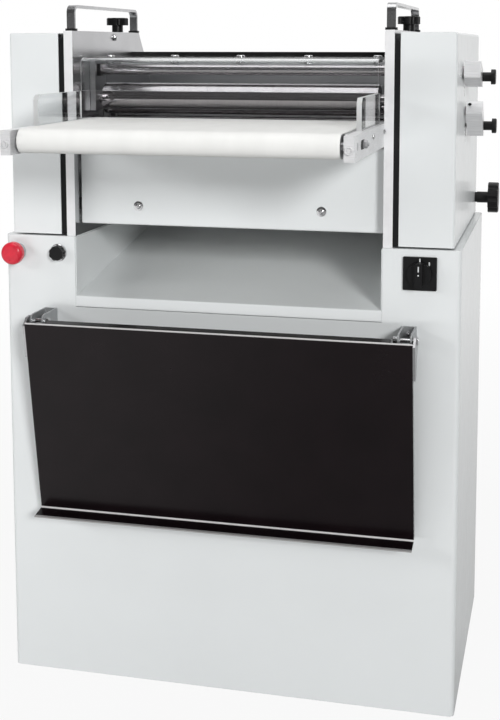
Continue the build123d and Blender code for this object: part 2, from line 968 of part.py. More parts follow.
# Gap levers with index plungers
lever_places = (
    ("upper", centre_y, upper_shaft_z, upper_lever_angle),
    ("rear", rear_roller_y, rear_shaft_z, rear_lever_angle),
)
for name, pivot_y, pivot_z, angle in lever_places:
    along = Location((pivot_y, pivot_z), angle)
    pin_y = pivot_y + plunger_reach * cos(radians(angle))
    pin_z = pivot_z + plunger_reach * sin(radians(angle))
    with BuildPart() as lever:
        with BuildSketch(Plane.YZ.offset(lever_start)) as lever_outline:
            with Locations(along):
                with Locations((lever_length / 2 - lever_head, 0)):
                    Rectangle(lever_length, lever_width)
        extrude(amount=lever_thickness)
        chamfer(lever.edges().filter_by(Axis.X), length=lever_edge)
        rod(gap_journal_radius, lever_start, lever_end, pivot_y, pivot_z, Mode.SUBTRACT)
        rod(plunger_radius + running_fit, lever_start, lever_end, pin_y, pin_z, Mode.SUBTRACT)
    keep(lever, f"{name}_lever")
    with BuildPart() as plunger:
        stem_start = lever_end + clearance
        knob_face = stem_start + plunger_stem
        rod(plunger_radius, lever_start - lever_gap + plunger_relief, stem_start, pin_y, pin_z)
        rod(plunger_stem_radius, stem_start, knob_face, pin_y, pin_z)
        rod(plunger_knob_radius, knob_face, knob_face + plunger_knob, pin_y, pin_z)
        fillet(plunger.edges().group_by(Axis.X)[-1], radius=plunger_knob / 4)
    keep(plunger, f"{name}_plunger")

# Hand knob with a collar, a stem and a fluted head
with BuildPart() as hand_knob:
    stem_start = knob_start + knob_collar
    head_start = stem_start + knob_stem
    rod(knob_collar_radius, knob_start, stem_start, lift_y, lift_z)
    rod(knob_stem_radius, stem_start, head_start, lift_y, lift_z)
    with BuildSketch(Plane.YZ.offset(head_start)) as knob_outline:
        with Locations((lift_y, lift_z)):
            Circle(knob_radius)
            with PolarLocations(knob_radius + knob_flute_radius / 2, knob_flutes):
                Circle(knob_flute_radius, mode=Mode.SUBTRACT)
    extrude(amount=knob_thickness)
    chamfer(hand_knob.edges().group_by(Axis.X)[-1], length=knob_edge)
    rod(gap_journal_radius, knob_start, knob_end - knob_thickness / 2, lift_y, lift_z, Mode.SUBTRACT)
keep(hand_knob, "hand_knob")

# Moulding belt and its rollers
with BuildPart() as mould_belt:
    loop(
        (mould_front_y, mould_axis_z),
        (mould_rear_y, mould_axis_z),
        mould_roller_radius + belt_clearance,
        mould_roller_radius + belt_clearance,
        mould_belt_thickness,
        -half_belt,
        half_belt,
    )
keep(mould_belt, "mould_belt")

with BuildPart() as mould_front_roller:
    rod(mould_roller_radius, -half_belt, half_belt, mould_front_y, mould_axis_z)
    rod(mould_journal_radius, -plate_outer, plate_outer, mould_front_y, mould_axis_z)
keep(mould_front_roller, "mould_front_roller")

with BuildPart() as mould_rear_roller:
    rod(mould_roller_radius, -half_belt, half_belt, mould_rear_y, mould_axis_z)
    rod(mould_journal_radius, -plate_outer, pulley_end, mould_rear_y, mould_axis_z)
    pulley(pulley_radius, pulley_width, mould_journal_radius + running_fit, second_lane, mould_rear_y, mould_axis_z)
keep(mould_rear_roller, "mould_rear_roller")

# Pressure board: hangs on two arms whose windows ride on the lifting shaft's eccentrics
lift_cam_half = lift_cam_radius + cam_clearance
lift_reach = lift_eccentricity + lift_cam_half
window_back = gap_journal_radius + hanger_wall / 4
arm_foot = lift_z - lift_cam_half - hanger_wall
arm_front = front + board_start
leg_front = lift_y - lift_reach - hanger_wall
leg_rear = lift_y + window_back + hanger_wall
arm_under = board_z
arm_top = board_z + board_arm_height
with BuildPart() as pressure_board:
    block(
        (-hanger_inner, hanger_inner),
        (arm_front, mould_rear_y + board_overhang),
        (board_z, board_z + board_thickness),
    )
    for sign in (-1, 1):
        low = min(sign * hanger_inner, sign * hanger_outer)
        high = max(sign * hanger_inner, sign * hanger_outer)
        slab(
            (
                (arm_front, arm_under),
                (leg_front, arm_under),
                (leg_front, arm_foot),
                (leg_rear, arm_foot),
                (leg_rear, arm_top),
                (arm_front, arm_top),
            ),
            low,
            high,
        )
        block(
            (low, high),
            (lift_y - lift_reach, lift_y + window_back),
            (lift_z - lift_cam_half, lift_z + lift_cam_half),
            Mode.SUBTRACT,
        )
keep(pressure_board, "pressure_board")

# Drive: gear motor on the base tray, main belt up to the centre roller, transfer belts in the right-hand cover
gearbox_start = main_lane + 3 * pulley_flange
gearbox_end = gearbox_start + gearbox_length
with BuildPart() as gear_motor:
    block(
        (gearbox_start, gearbox_end),
        (motor_y - gearbox_half, motor_y + gearbox_half),
        (sheet + motor_foot_thickness, motor_z + gearbox_half),
    )
    fillet(gear_motor.edges().filter_by(Axis.X).group_by(Axis.Z)[-1], radius=gearbox_half / 3)
    rod(motor_radius, gearbox_end, gearbox_end + motor_length, motor_y, motor_z)
    rod(motor_radius + motor_flange, gearbox_end, gearbox_end + motor_flange_width, motor_y, motor_z)
    chamfer(gear_motor.edges().group_by(Axis.X)[-1], length=2 * motor_flange)
    block(
        (gearbox_start, gearbox_end),
        (motor_y - gearbox_half - motor_foot_reach, motor_y + gearbox_half + motor_foot_reach),
        (sheet, sheet + motor_foot_thickness),
    )
    rod(motor_shaft_radius + running_fit, gearbox_start, gearbox_end, motor_y, motor_z, Mode.SUBTRACT)
keep(gear_motor, "gear_motor")

with BuildPart() as motor_pulley:
    rod(motor_shaft_radius, main_start - pulley_flange, gearbox_end, motor_y, motor_z)
    pulley(
        motor_pulley_radius,
        main_belt_width,
        motor_shaft_radius + running_fit,
        main_start,
        motor_y,
        motor_z,
    )
keep(motor_pulley, "motor_pulley")

with BuildPart() as main_belt:
    loop(
        (centre_y, centre_z),
        (motor_y, motor_z),
        main_pulley_radius + belt_clearance,
        motor_pulley_radius + belt_clearance,
        main_belt_thickness,
        main_start,
        main_lane,
    )
keep(main_belt, "main_belt")

transfer_inner = pulley_radius + belt_clearance
with BuildPart() as transfer_belts:
    for lane, target in ((first_lane, (feed_y, feed_axis_z)), (second_lane, (mould_rear_y, mould_axis_z))):
        loop(
            (centre_y, centre_z),
            target,
            transfer_inner,
            transfer_inner,
            transfer_thickness,
            lane,
            lane + pulley_width,
        )
keep(transfer_belts, "transfer_belts")

# Control box on the inside of the right-hand wall, and the gland for the supply lead
with BuildPart() as control_box:
    block(
        (half_width - sheet - box_width, half_width - sheet),
        (front + wrap_split + seam_gap + sheet, front + wrap_split + seam_gap + sheet + box_length),
        (box_z - box_height / 2, box_z + box_height / 2),
    )
    fillet(control_box.edges().filter_by(Axis.X), radius=corner_radius)
keep(control_box, "control_box")

with BuildPart() as cable_gland:
    stud(gland_radius, gland_x, rear - gland_reach, rear, gland_z)
    with BuildSketch(Plane.XZ.offset(-rear)) as nut:
        with Locations((gland_x, gland_z)):
            RegularPolygon(gland_nut, 6)
    extrude(amount=-gland_reach / 2)
    stud(gland_radius, gland_x, rear, rear + gland_reach, gland_z)
    stud(control_stem, gland_x, rear - gland_reach, rear + gland_reach, gland_z, Mode.SUBTRACT)
keep(cable_gland, "cable_gland")

# Emergency stop: collar with its contact block, and the mushroom head that slides in it
collar_face = front - estop_collar
with BuildPart() as estop_collar_piece:
    stud(estop_collar_radius, estop_x, collar_face, front, estop_z)
    stud(control_bore, estop_x, front, front + sheet, estop_z)
    block(
        (estop_x - contact_width / 2, estop_x + contact_width / 2),
        (front + sheet, front + sheet + contact_depth),
        (estop_z - contact_height / 2, estop_z + contact_height / 2),
    )
    stud(
        control_stem + running_fit,
        estop_x,
        collar_face,
        front + sheet + contact_depth / 2,
        estop_z,
        Mode.SUBTRACT,
    )
keep(estop_collar_piece, "estop_collar")

head_back = collar_face - estop_travel - clearance
with BuildPart() as estop_head_piece:
    stud(estop_radius, estop_x, head_back - estop_head, head_back, estop_z)
    dome_edge = estop_head_piece.edges().filter_by(GeomType.CIRCLE).sort_by(Axis.Y)[0]
    fillet(dome_edge, radius=estop_head / 2)
    stud(control_stem, estop_x, head_back, front + sheet + contact_depth / 4, estop_z)
keep(estop_head_piece, "estop_head")

# Start button: bright bezel with its contact block, and the black cap that travels in it
bezel_face = front - start_bezel
cap_back = front - start_travel - 3 * clearance
with BuildPart() as start_bezel_piece:
    stud(start_bezel_radius, start_x, bezel_face, front, start_z)
    bezel_edge = start_bezel_piece.edges().filter_by(GeomType.CIRCLE).sort_by(Axis.Y)[0]
    chamfer(bezel_edge, length=start_bezel / 4)
    stud(control_bore, start_x, front, front + sheet, start_z)
    block(
        (start_x - contact_width / 2, start_x + contact_width / 2),
        (front + sheet, front + sheet + contact_depth),
        (start_z - contact_height / 2, start_z + contact_height / 2),
    )
    stud(
        start_cap_radius + running_fit,
        start_x,
        bezel_face,
        cap_back + start_travel + clearance,
        start_z,
        Mode.SUBTRACT,
    )
    stud(
        control_stem + running_fit,
        start_x,
        bezel_face,
        front + sheet + contact_depth / 2,
        start_z,
        Mode.SUBTRACT,
    )
keep(start_bezel_piece, "start_bezel")

with BuildPart() as start_cap_piece:
    stud(start_cap_radius, start_x, bezel_face, cap_back, start_z)
    with BuildSketch(Plane.XZ.offset(-bezel_face)) as cap_outline:
        with Locations((start_x, start_z)):
            Circle(start_cap_radius)
            with PolarLocations(start_cap_radius + 0.8 * start_scallop, start_lobes):
                Circle(start_scallop, mode=Mode.SUBTRACT)
    extrude(amount=start_cap - (cap_back - bezel_face))
    fillet(start_cap_piece.edges().group_by(Axis.Y)[0], radius=start_cap / 8)
    stud(control_stem, start_x, cap_back, front + sheet + contact_depth / 4, start_z)
keep(start_cap_piece, "start_cap")

# Main switch: square plate with its contact block, and the dial with a grip bar that turns
plate_face = front - switch_plate
with BuildPart() as switch_plate_piece:
    block(
        (switch_x - switch_size / 2, switch_x + switch_size / 2),
        (plate_face, front),
        (switch_z - switch_size / 2, switch_z + switch_size / 2),
    )
    fillet(switch_plate_piece.edges().filter_by(Axis.Y), radius=switch_plate / 2)
    stud(control_bore, switch_x, front, front + sheet, switch_z)
    block(
        (switch_x - contact_width / 2, switch_x + contact_width / 2),
        (front + sheet, front + sheet + contact_depth),
        (switch_z - contact_height / 2, switch_z + contact_height / 2),
    )
    stud(
        control_stem + running_fit,
        switch_x,
        plate_face,
        front + sheet + contact_depth / 2,
        switch_z,
        Mode.SUBTRACT,
    )
keep(switch_plate_piece, "switch_plate")

dial_back = plate_face - clearance
dial_face = dial_back - switch_dial
with BuildPart() as switch_knob:
    stud(switch_dial_radius, switch_x, dial_face, dial_back, switch_z)
    with BuildSketch(Plane.XZ.offset(-dial_face)) as grip:
        with Locations((switch_x, switch_z)):
            RectangleRounded(switch_grip_width, switch_grip_length, switch_grip_width / 4)
    extrude(amount=switch_grip)
    stud(control_stem, switch_x, dial_back, front + sheet + contact_depth / 4, switch_z)
keep(switch_knob, "switch_knob")

# Roller guard: a clear sheet bent down at the front, on a cross bar that turns in the side plates
bar_under = guard_bar_z - guard_bar_height / 2
bar_crown = bar_under + guard_bar_height
with BuildPart() as guard_bar:
    block(
        (-guard_half, guard_half),
        (guard_bar_y - guard_bar_width / 2, guard_bar_y + guard_bar_width / 2),
        (bar_under, bar_crown),
    )
    rod(guard_pin_radius, -plate_outer, plate_outer, guard_bar_y, guard_bar_z)
keep(guard_bar, "guard_bar")

guard_rear = guard_bar_y + guard_bar_width / 2
guard_line = bar_crown + guard_thickness / 2
guard_front = front + guard_setback + guard_thickness / 2
with BuildPart() as guard_sheet:
    folded(
        (
            (guard_rear, guard_line),
            (guard_rear - guard_bar_width, guard_line),
            (guard_front, guard_line - guard_slope),
            (guard_front, guard_line - guard_slope - guard_depth),
        ),
        (guard_bend, guard_bend),
        guard_thickness,
        -guard_half,
        guard_half,
    )
keep(guard_sheet, "guard_sheet")

# Star knobs that clamp the bar's pins from the top edges of the side plates
stud_foot = guard_bar_z + guard_pin_radius + running_fit + clearance
star_foot = plate_top + clearance
for side, sign in (("left", -1), ("right", 1)):
    with BuildPart() as star_knob:
        star_x = sign * plate_middle
        with BuildSketch(Plane.XY.offset(star_foot + star_stem)) as star_outline:
            with Locations((star_x, guard_bar_y)):
                Circle(star_radius)
                with PolarLocations(star_radius + star_scallop / 2, star_lobes):
                    Circle(star_scallop, mode=Mode.SUBTRACT)
        extrude(amount=star_height)
        chamfer(star_knob.edges().group_by(Axis.Z)[-1], length=knob_edge)
        with Locations((star_x, guard_bar_y, star_foot + star_stem / 2)):
            Cylinder(star_stem_radius, star_stem)
        with Locations((star_x, guard_bar_y, (stud_foot + star_foot) / 2)):
            Cylinder(star_stud_radius, star_foot - stud_foot)
    keep(star_knob, f"{side}_star_knob")

# Receiving table, folded down: its own plane starts at the hinge, leans in at the foot, and looks forward
table_plane = Plane(
    origin=(0, hinge_y, hinge_z),
    x_dir=(0, -cos(radians(table_lean)), -sin(radians(table_lean))),
    z_dir=(-1, 0, 0),
)
face_back = table_standoff - table_sheet
table_tail = table_head - table_length


def on_table(points, start, end, mode=Mode.ADD):
    """Plate in the table's plane, with (out, up) points measured from the hinge, from start to end along X."""
    with BuildSketch(table_plane.offset(-end)) as outline:
        Polygon(*points, align=None)
    extrude(outline.sketch, amount=end - start, mode=mode)


table_middle = table_standoff - table_sheet / 2
table_crown = table_head - table_sheet / 2
table_sole = table_tail + table_sheet / 2
with BuildPart() as table_panel:
    with BuildSketch(table_plane.offset(-table_half_width)) as table_profile:
        with BuildLine():
            FilletPolyline(
                (table_standoff - table_flange, table_crown),
                (table_middle, table_crown),
                (table_middle, table_sole),
                (table_standoff + table_rim, table_sole),
                radius=table_bend,
            )
        trace(line_width=table_sheet)
    extrude(table_profile.sketch, amount=2 * table_half_width)
    for start in (-table_half_width, table_notch):
        on_table(
            (
                (table_standoff - 2 * table_flange, table_head - table_bend - table_sheet),
                (face_back, table_head - table_bend - table_sheet),
                (face_back, table_head + table_sheet),
                (table_standoff - 2 * table_flange, table_head + table_sheet),
            ),
            start,
            start + table_half_width - table_notch,
            Mode.SUBTRACT,
        )
    for start in (-table_half_width, table_half_width - table_sheet):
        on_table(
            (
                (table_standoff - table_side, table_tail + table_bend),
                (table_middle, table_tail + table_bend),
                (table_middle, table_head - table_bend),
                (table_standoff - table_side, table_head - table_bend),
            ),
            start,
            start + table_sheet,
        )
keep(table_panel, "table_panel")

# Arms outside the table's sides, which turn on the pins
with BuildPart() as table_arms:
    for sign in (-1, 1):
        near = sign * table_half_width
        far = sign * (table_half_width + arm_thickness)
        low = min(near, far)
        high = max(near, far)
        on_table(
            (
                (-arm_width / 2, 0),
                (0, arm_width / 2),
                (arm_width / 2, arm_width / 2),
                (table_standoff, 0),
                (table_standoff, -arm_length),
                (table_standoff - arm_width / 2, -arm_length),
                (-arm_width / 2, -arm_width / 2),
            ),
            low,
            high,
        )
        rod(pin_radius + running_fit, low, high, hinge_y, hinge_z, Mode.SUBTRACT)
keep(table_arms, "table_arms")

# Chromed brackets on the cabinet front, with the hinge pins
with BuildPart() as table_brackets:
    for sign in (-1, 1):
        near = sign * bracket_inner
        far = sign * (bracket_inner + bracket_width)
        low = min(near, far)
        high = max(near, far)
        block(
            (low, high),
            (front - bracket_foot, front),
            (hinge_z - bracket_ear, hinge_z + bracket_ear),
        )
        for start in (low, high - bracket_sheet):
            with BuildSketch(Plane.YZ.offset(start)) as ear:
                with Locations((hinge_y, hinge_z)):
                    Circle(bracket_ear)
                with Locations(((hinge_y + front) / 2, hinge_z)):
                    Rectangle(front - hinge_y, 2 * bracket_ear)
                with Locations((hinge_y, hinge_z)):
                    Circle(pin_radius, mode=Mode.SUBTRACT)
            extrude(ear.sketch, amount=bracket_sheet)
keep(table_brackets, "table_brackets")

with BuildPart() as hinge_pins:
    pin_end = table_half_width + arm_thickness + clearance
    for sign in (-1, 1):
        near = sign * bracket_inner
        far = sign * pin_end
        cap = sign * (pin_end + pin_head)
        knob = sign * (bracket_inner - pin_knob)
        rod(pin_radius, min(near, far), max(near, far), hinge_y, hinge_z)
        rod(pin_head_radius, min(far, cap), max(far, cap), hinge_y, hinge_z)
        rod(pin_head_radius, min(knob, near), max(knob, near), hinge_y, hinge_z)
keep(hinge_pins, "hinge_pins")
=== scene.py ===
"""Looks of the dough moulder: finishes, small fasteners and marks, studio light and camera.

Everything is in metres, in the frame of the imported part: +X is the operator's right, +Y is towards the
back and +Z is up.
"""

import logging
from dataclasses import dataclass
from enum import Enum
from math import cos, pi, radians, sin
from typing import Callable, ClassVar, Iterable, Sequence

import bmesh
import bpy
from mathutils import Matrix, Vector


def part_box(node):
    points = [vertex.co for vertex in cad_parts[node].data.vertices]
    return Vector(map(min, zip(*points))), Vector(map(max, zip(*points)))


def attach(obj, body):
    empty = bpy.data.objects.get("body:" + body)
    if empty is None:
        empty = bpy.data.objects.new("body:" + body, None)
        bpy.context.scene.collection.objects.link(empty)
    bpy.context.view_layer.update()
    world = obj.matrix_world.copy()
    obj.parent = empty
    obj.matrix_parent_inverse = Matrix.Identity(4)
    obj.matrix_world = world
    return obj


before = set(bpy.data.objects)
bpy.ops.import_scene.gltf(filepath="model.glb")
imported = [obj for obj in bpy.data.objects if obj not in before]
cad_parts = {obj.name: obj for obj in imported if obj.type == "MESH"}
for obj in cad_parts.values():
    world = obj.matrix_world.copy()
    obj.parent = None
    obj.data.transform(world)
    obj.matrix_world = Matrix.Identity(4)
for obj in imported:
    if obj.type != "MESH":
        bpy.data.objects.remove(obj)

LOG = logging.getLogger("dough_moulder")
MM = 0.001

Triple = tuple[float, float, float]
Colour = tuple[float, float, float]
Pair = tuple[float, float]
Ramp = tuple[float, float, float, float]
Profile = tuple[Pair, ...]
Socket = bpy.types.NodeSocket
Supply = Socket | float | Sequence[float]
Node = bpy.types.Node
Piece = bpy.types.Object
Element = bmesh.types.BMFace | bmesh.types.BMEdge

ORIGIN: Triple = (0.0, 0.0, 0.0)
RIGHT: Triple = (1.0, 0.0, 0.0)
LEFT: Triple = (-1.0, 0.0, 0.0)
FRONT: Triple = (0.0, -1.0, 0.0)
BACK: Triple = (0.0, 1.0, 0.0)
UP: Triple = (0.0, 0.0, 1.0)
DOWN: Triple = (0.0, 0.0, -1.0)

VECTOR_MATH = "ShaderNodeVectorMath"
BEVEL_SAMPLES = 4
SOFT_EDGE = 0.6 * MM
WAVE_SCALE = 20.0
FEW_LAYERS, MANY_LAYERS = 2.0, 4.0
HEXAGON, BOLT_SIDES, HEAD_SIDES, WIDE_SIDES = 6, 20, 32, 40
CORNER_FACES = 8
SEAT = 0.9
TOUCH = 0.001 * MM
SMOOTH_ANGLE = radians(35)
BEVEL_ANGLE = radians(40)


class Side(Enum):
    """The two sides of the machine, as the sign of X."""

    LEFT = -1
    RIGHT = 1


class Slot(Enum):
    """Finishes of the machine: the name of each finish and its slot in the record."""

    POWDER = ("white powder coat", "powder_white")
    STAINLESS = ("brushed stainless", "stainless")
    PLATE = ("ground plate", "stainless")
    STEEL = ("machined steel", "steel")
    CHROME = ("polished chrome", "chrome")
    ROLLER = ("hard chrome roller", "chrome")
    ZINC = ("zinc plate", "chrome")
    HANDLE = ("polished handle", "chrome")
    ALUMINIUM = ("satin aluminium", "aluminium")
    CASTING = ("painted casting", "motor_casting")
    BELT = ("food belt", "belt_white")
    DRIVE_BELT = ("drive belt rubber", "drive_belt")
    SEAL = ("seal rubber", "seal_black")
    BLACK_PLASTIC = ("black moulding", "black_plastic")
    GREY_PLASTIC = ("grey moulding", "grey_plastic")
    RED_PLASTIC = ("red moulding", "red_plastic")
    ACRYLIC = ("clear acrylic", "clear_acrylic")
    TABLE = ("dark table sheet", "table_dark")
    BLACK_PAINT = ("black satin paint", "black_paint")

    def __init__(self, title: str, record: str) -> None:
        """Keep the name of the finish and its slot in the record."""
        self.title = title
        self.record = record


class Tree:
    """Node tree of a finish, of the floor or of the surroundings."""

    def __init__(self, owner: bpy.types.Material | bpy.types.World) -> None:
        """Start an empty tree.

        Args:
            owner: Material or world that the tree belongs to.
        """
        owner.use_nodes = True
        self.tree = owner.node_tree
        self.tree.nodes.clear()

    def fill(self, node: Node, *values: Supply, **inputs: Supply) -> Node:
        """Link inputs of a node to sockets, or set them to constants.

        Args:
            node: Node to supply.
            values: What its first inputs get, in their order.
            inputs: What its named inputs get, with underscores for spaces.

        Returns:
            The same node.
        """
        named = [(name.replace("_", " "), value) for name, value in inputs.items()]
        for key, value in (*enumerate(values), *named):
            if isinstance(value, Socket):
                self.tree.links.new(value, node.inputs[key])
            else:
                node.inputs[key].default_value = value
        return node

    def node(self, kind: str, **inputs: Supply) -> Node:
        """Add a node of a kind and supply its named inputs."""
        return self.fill(self.tree.nodes.new(kind), **inputs)

    def math(self, operation: str, *values: Supply, kind: str = "ShaderNodeMath") -> Socket:
        """Work out a number.

        Args:
            operation: What the node does.
            values: Sockets or constants of its inputs, in their order.
            kind: Kind of the node.

        Returns:
            The socket of the number.
        """
        node = self.node(kind)
        node.operation = operation
        return self.fill(node, *values).outputs["Value"]

    def span(self, value: Socket, low: float, high: float, start: float = 0.3, end: float = 0.7) -> Socket:
        """Stretch a value, so that start gives low and end gives high."""
        limits = {"From_Min": start, "From_Max": end, "To_Min": low, "To_Max": high}
        return self.node("ShaderNodeMapRange", Value=value, **limits).outputs["Result"]

    def mix(self, share: Socket, first: Node, second: Node) -> Node:
        """Mix two shaders, by the share of the second."""
        return self.fill(self.node("ShaderNodeMixShader"), share, first.outputs[0], second.outputs[0])

    def straight(self) -> Socket:
        """Tell the rays that look straight from the camera, also through clear sheets."""
        path = self.node("ShaderNodeLightPath")
        unmirrored = self.math("LESS_THAN", path.outputs["Glossy Depth"], 0.5)
        through = self.math("MULTIPLY", path.outputs["Is Transmission Ray"], unmirrored)
        return self.math("MAXIMUM", path.outputs["Is Camera Ray"], through)

    def mirrored(self) -> Socket:
        """Tell the rays that come off a glossy face, or out through a clear sheet."""
        path = self.node("ShaderNodeLightPath")
        return self.math("MAXIMUM", path.outputs["Is Glossy Ray"], path.outputs["Is Transmission Ray"])


class Graph(Tree):
    """Node tree of one finish: a Principled shader fed from Object coordinates."""

    def __init__(self, name: str) -> None:
        """Start a tree that holds only the shader and the output.

        Args:
            name: Name of the material.
        """
        self.material = bpy.data.materials.new(name)
        super().__init__(self.material)
        self.shader = self.node("ShaderNodeBsdfPrincipled")
        self.output = self.node("ShaderNodeOutputMaterial", Surface=self.shader.outputs["BSDF"])

    def surface(self, **inputs: Supply) -> None:
        """Supply the shader's own inputs, named with underscores for spaces."""
        self.fill(self.shader, **inputs)

    def place(self, stretch: Triple = (1.0, 1.0, 1.0), shift: Triple = ORIGIN) -> Socket:
        """Give Object coordinates, stretched for a pattern with a grain and then shifted."""
        where = self.node("ShaderNodeTexCoord").outputs["Object"]
        return self.node("ShaderNodeMapping", Vector=where, Scale=stretch, Location=shift).outputs["Vector"]

    def noise(self, where: Socket, scale: float, detail: float = 3.0) -> Socket:
        """Give a noise from 0 to 1, with a number of cells per metre and of finer layers."""
        return self.node("ShaderNodeTexNoise", Vector=where, Scale=scale, Detail=detail).outputs["Fac"]

    def weave(self, direction: str, pitch: float) -> Socket:
        """Give the height of threads that run in one direction.

        Args:
            direction: Axis across the threads, X, Y or Z.
            pitch: Distance between the threads.

        Returns:
            The socket of the height, from 0 to 1.
        """
        texture = self.node("ShaderNodeTexWave", Vector=self.place(), Scale=2 * pi / (pitch * WAVE_SCALE))
        texture.wave_type = "BANDS"
        texture.bands_direction = direction
        return texture.outputs["Fac"]

    def between(self, share: Socket, none: float, full: float) -> Socket:
        """Turn a share from 0 to 1 into a value between two."""
        return self.span(share, none, full, 0.0, 1.0)

    def change(self, value: Socket, start: float, low: float, high: float, width: float = 0.8 * MM) -> Socket:
        """Go from one level to another over a short stretch that begins at start."""
        return self.span(value, low, high, start, start + width)

    def shade(
        self,
        value: Socket,
        colour: Colour,
        dark: float,
        light: float = 1.0,
        start: float = 0.3,
        end: float = 0.7,
    ) -> Socket:
        """Turn a value into a colour between two shades.

        Args:
            value: Value to read.
            colour: Colour to shade.
            dark: Factor of the colour up to start.
            light: Factor of the colour from end.
            start: Value where the change begins.
            end: Value where the change ends.

        Returns:
            The socket of the shade.
        """
        ramp = self.node("ShaderNodeValToRGB", Fac=value)
        low, high = ramp.color_ramp.elements
        low.position, high.position = start, end
        for stop, factor in ((low, dark), (high, light)):
            stop.color = (*(part * factor for part in colour), 1.0)
        return ramp.outputs["Color"]

    def along(self, axis: Triple, origin: Triple = ORIGIN) -> Socket:
        """Measure the place of a point along an axis, in metres from the origin."""
        return self.dot(self.place(shift=tuple(-part for part in origin)), axis)

    def dot(self, vector: Socket, axis: Triple) -> Socket:
        """Give the dot product of a vector and an axis."""
        return self.math("DOT_PRODUCT", vector, axis, kind=VECTOR_MATH)

    def facing(self, axis: Triple, start: float = 0.5, end: float = 0.6) -> Socket:
        """Tell whether a surface looks along an axis, either way: from 0 at start to 1 at end."""
        normal = self.node("ShaderNodeTexCoord").outputs["Normal"]
        return self.span(self.math("ABSOLUTE", self.dot(normal, axis)), 0.0, 1.0, start, end)

    def blend(self, share: Socket, first: Socket, second: Socket) -> Socket:
        """Blend two colours.

        Args:
            share: Share of the second colour, from 0 to 1.
            first: Colour at 0.
            second: Colour at 1.

        Returns:
            The socket of the blended colour.
        """
        mix = self.node("ShaderNodeMix")
        mix.data_type = "RGBA"
        return self.fill(mix, Factor=share, A=first, B=second).outputs["Result"]

    def relief(self, height: Socket, depth: float, edge: float = 0.0) -> None:
        """Feed a bump to the shader's normal, with softened edges below it.

        Args:
            height: Height from 0 to 1.
            depth: Depth of the relief in metres.
            edge: Radius of the softened edges, 0 for none.
        """
        bump = self.node("ShaderNodeBump", Strength=1.0, Distance=depth, Height=height)
        if edge > 0:
            bevel = self.node("ShaderNodeBevel", Radius=edge)
            bevel.samples = BEVEL_SAMPLES
            self.fill(bump, Normal=bevel.outputs["Normal"])
        self.surface(Normal=bump.outputs["Normal"])


@dataclass(frozen=True)
class Finish:
    """A finish of one colour that fills its own node tree."""

    colour: Colour

    def paint(self, graph: Graph) -> None:
        """Fill the tree of the finish."""
        raise NotImplementedError


@dataclass(frozen=True)
class GrainedMetal(Finish):
    """Bare metal with a brushed, turned or blasted grain."""

    roughness: float
    grain: Triple
    depth: float = 0.006 * MM
    spread: float = 0.07
    metal: float = 1.0
    clouds: float = 9.0
    shades: Ramp = (0.88, 1.0, 0.15, 0.35)
    gloss: Pair = (0.12, 0.4)

    def texture(self, graph: Graph) -> tuple[Socket, Socket, Socket]:
        """Lay the grain.

        Args:
            graph: Tree of the finish.

        Returns:
            The sockets of the grain's lines, of large clouds and of the two multiplied.
        """
        lines = graph.noise(graph.place(self.grain), 1.0)
        cloud = graph.noise(graph.place(), self.clouds)
        return lines, cloud, graph.math("MULTIPLY", lines, cloud)

    def paint(self, graph: Graph) -> None:
        """Fill the tree of the metal."""
        lines, _, mottle = self.texture(graph)
        graph.surface(
            Base_Color=graph.shade(mottle, self.colour, *self.shades),
            Roughness=graph.span(mottle, self.roughness + self.spread, self.roughness, *self.gloss),
            Metallic=self.metal,
        )
        graph.relief(lines, self.depth, SOFT_EDGE)


@dataclass(frozen=True)
class GroundPlate(GrainedMetal):
    """Thick metal plate with ground faces and pale blasted edges."""

    cut: Colour = (0.9, 0.9, 0.91)
    cut_grain: float = 60.0
    cut_fade: float = 0.95
    cut_metal: float = 0.15
    cut_roughness: float = 0.2
    cut_turn: Pair = (0.4, 0.6)

    def paint(self, graph: Graph) -> None:
        """Fill the tree of the plate."""
        lines, cloud, mottle = self.texture(graph)
        cut = graph.between(graph.facing(RIGHT, *self.cut_turn), 1.0, 0.0)
        face = graph.shade(mottle, self.colour, *self.shades)
        blasted = graph.shade(graph.noise(graph.place(), self.cut_grain), self.cut, self.cut_fade)
        ground = graph.span(cloud, self.roughness, self.roughness + self.spread)
        graph.surface(
            Base_Color=graph.blend(cut, face, blasted),
            Metallic=graph.between(cut, self.metal, self.cut_metal),
            Roughness=graph.math("ADD", ground, graph.between(cut, 0.0, self.cut_roughness)),
        )
        graph.relief(lines, self.depth, SOFT_EDGE)


@dataclass(frozen=True)
class Moulding(Finish):
    """Moulded plastic, rubber or satin paint with a fine skin."""

    roughness: float
    skin: float = 900.0
    depth: float = 0.02 * MM
    coat: float = 0.0
    coat_roughness: float = 0.08
    shine: float = 0.3
    edge: float = SOFT_EDGE
    layers: float = FEW_LAYERS
    clouds: float = 70.0
    shades: Pair = (0.85, 1.1)
    patches: float = 45.0
    gloss: Pair = (-0.05, 0.07)

    def paint(self, graph: Graph) -> None:
        """Fill the tree of the moulding or coat."""
        where = graph.place()
        smooth, rough = (self.roughness + change for change in self.gloss)
        graph.surface(
            Base_Color=graph.shade(graph.noise(where, self.clouds), self.colour, *self.shades),
            Roughness=graph.span(graph.noise(where, self.patches), smooth, rough),
            Coat_Weight=self.coat,
            Coat_Roughness=self.coat_roughness,
            Specular_IOR_Level=self.shine,
        )
        graph.relief(graph.noise(where, self.skin, self.layers), self.depth, self.edge)


@dataclass(frozen=True)
class PowderCoat(Moulding):
    """Sprayed and baked coat: even colour, faint orange peel and softened edges."""

    roughness: float = 0.24
    skin: float = 420.0
    depth: float = 0.0025 * MM
    shine: float = 0.5
    edge: float = 1.2 * MM
    layers: float = 1.5
    clouds: float = 5.0
    shades: Pair = (0.975, 1.0)
    patches: float = 38.0
    gloss: Pair = (-0.01, 0.015)


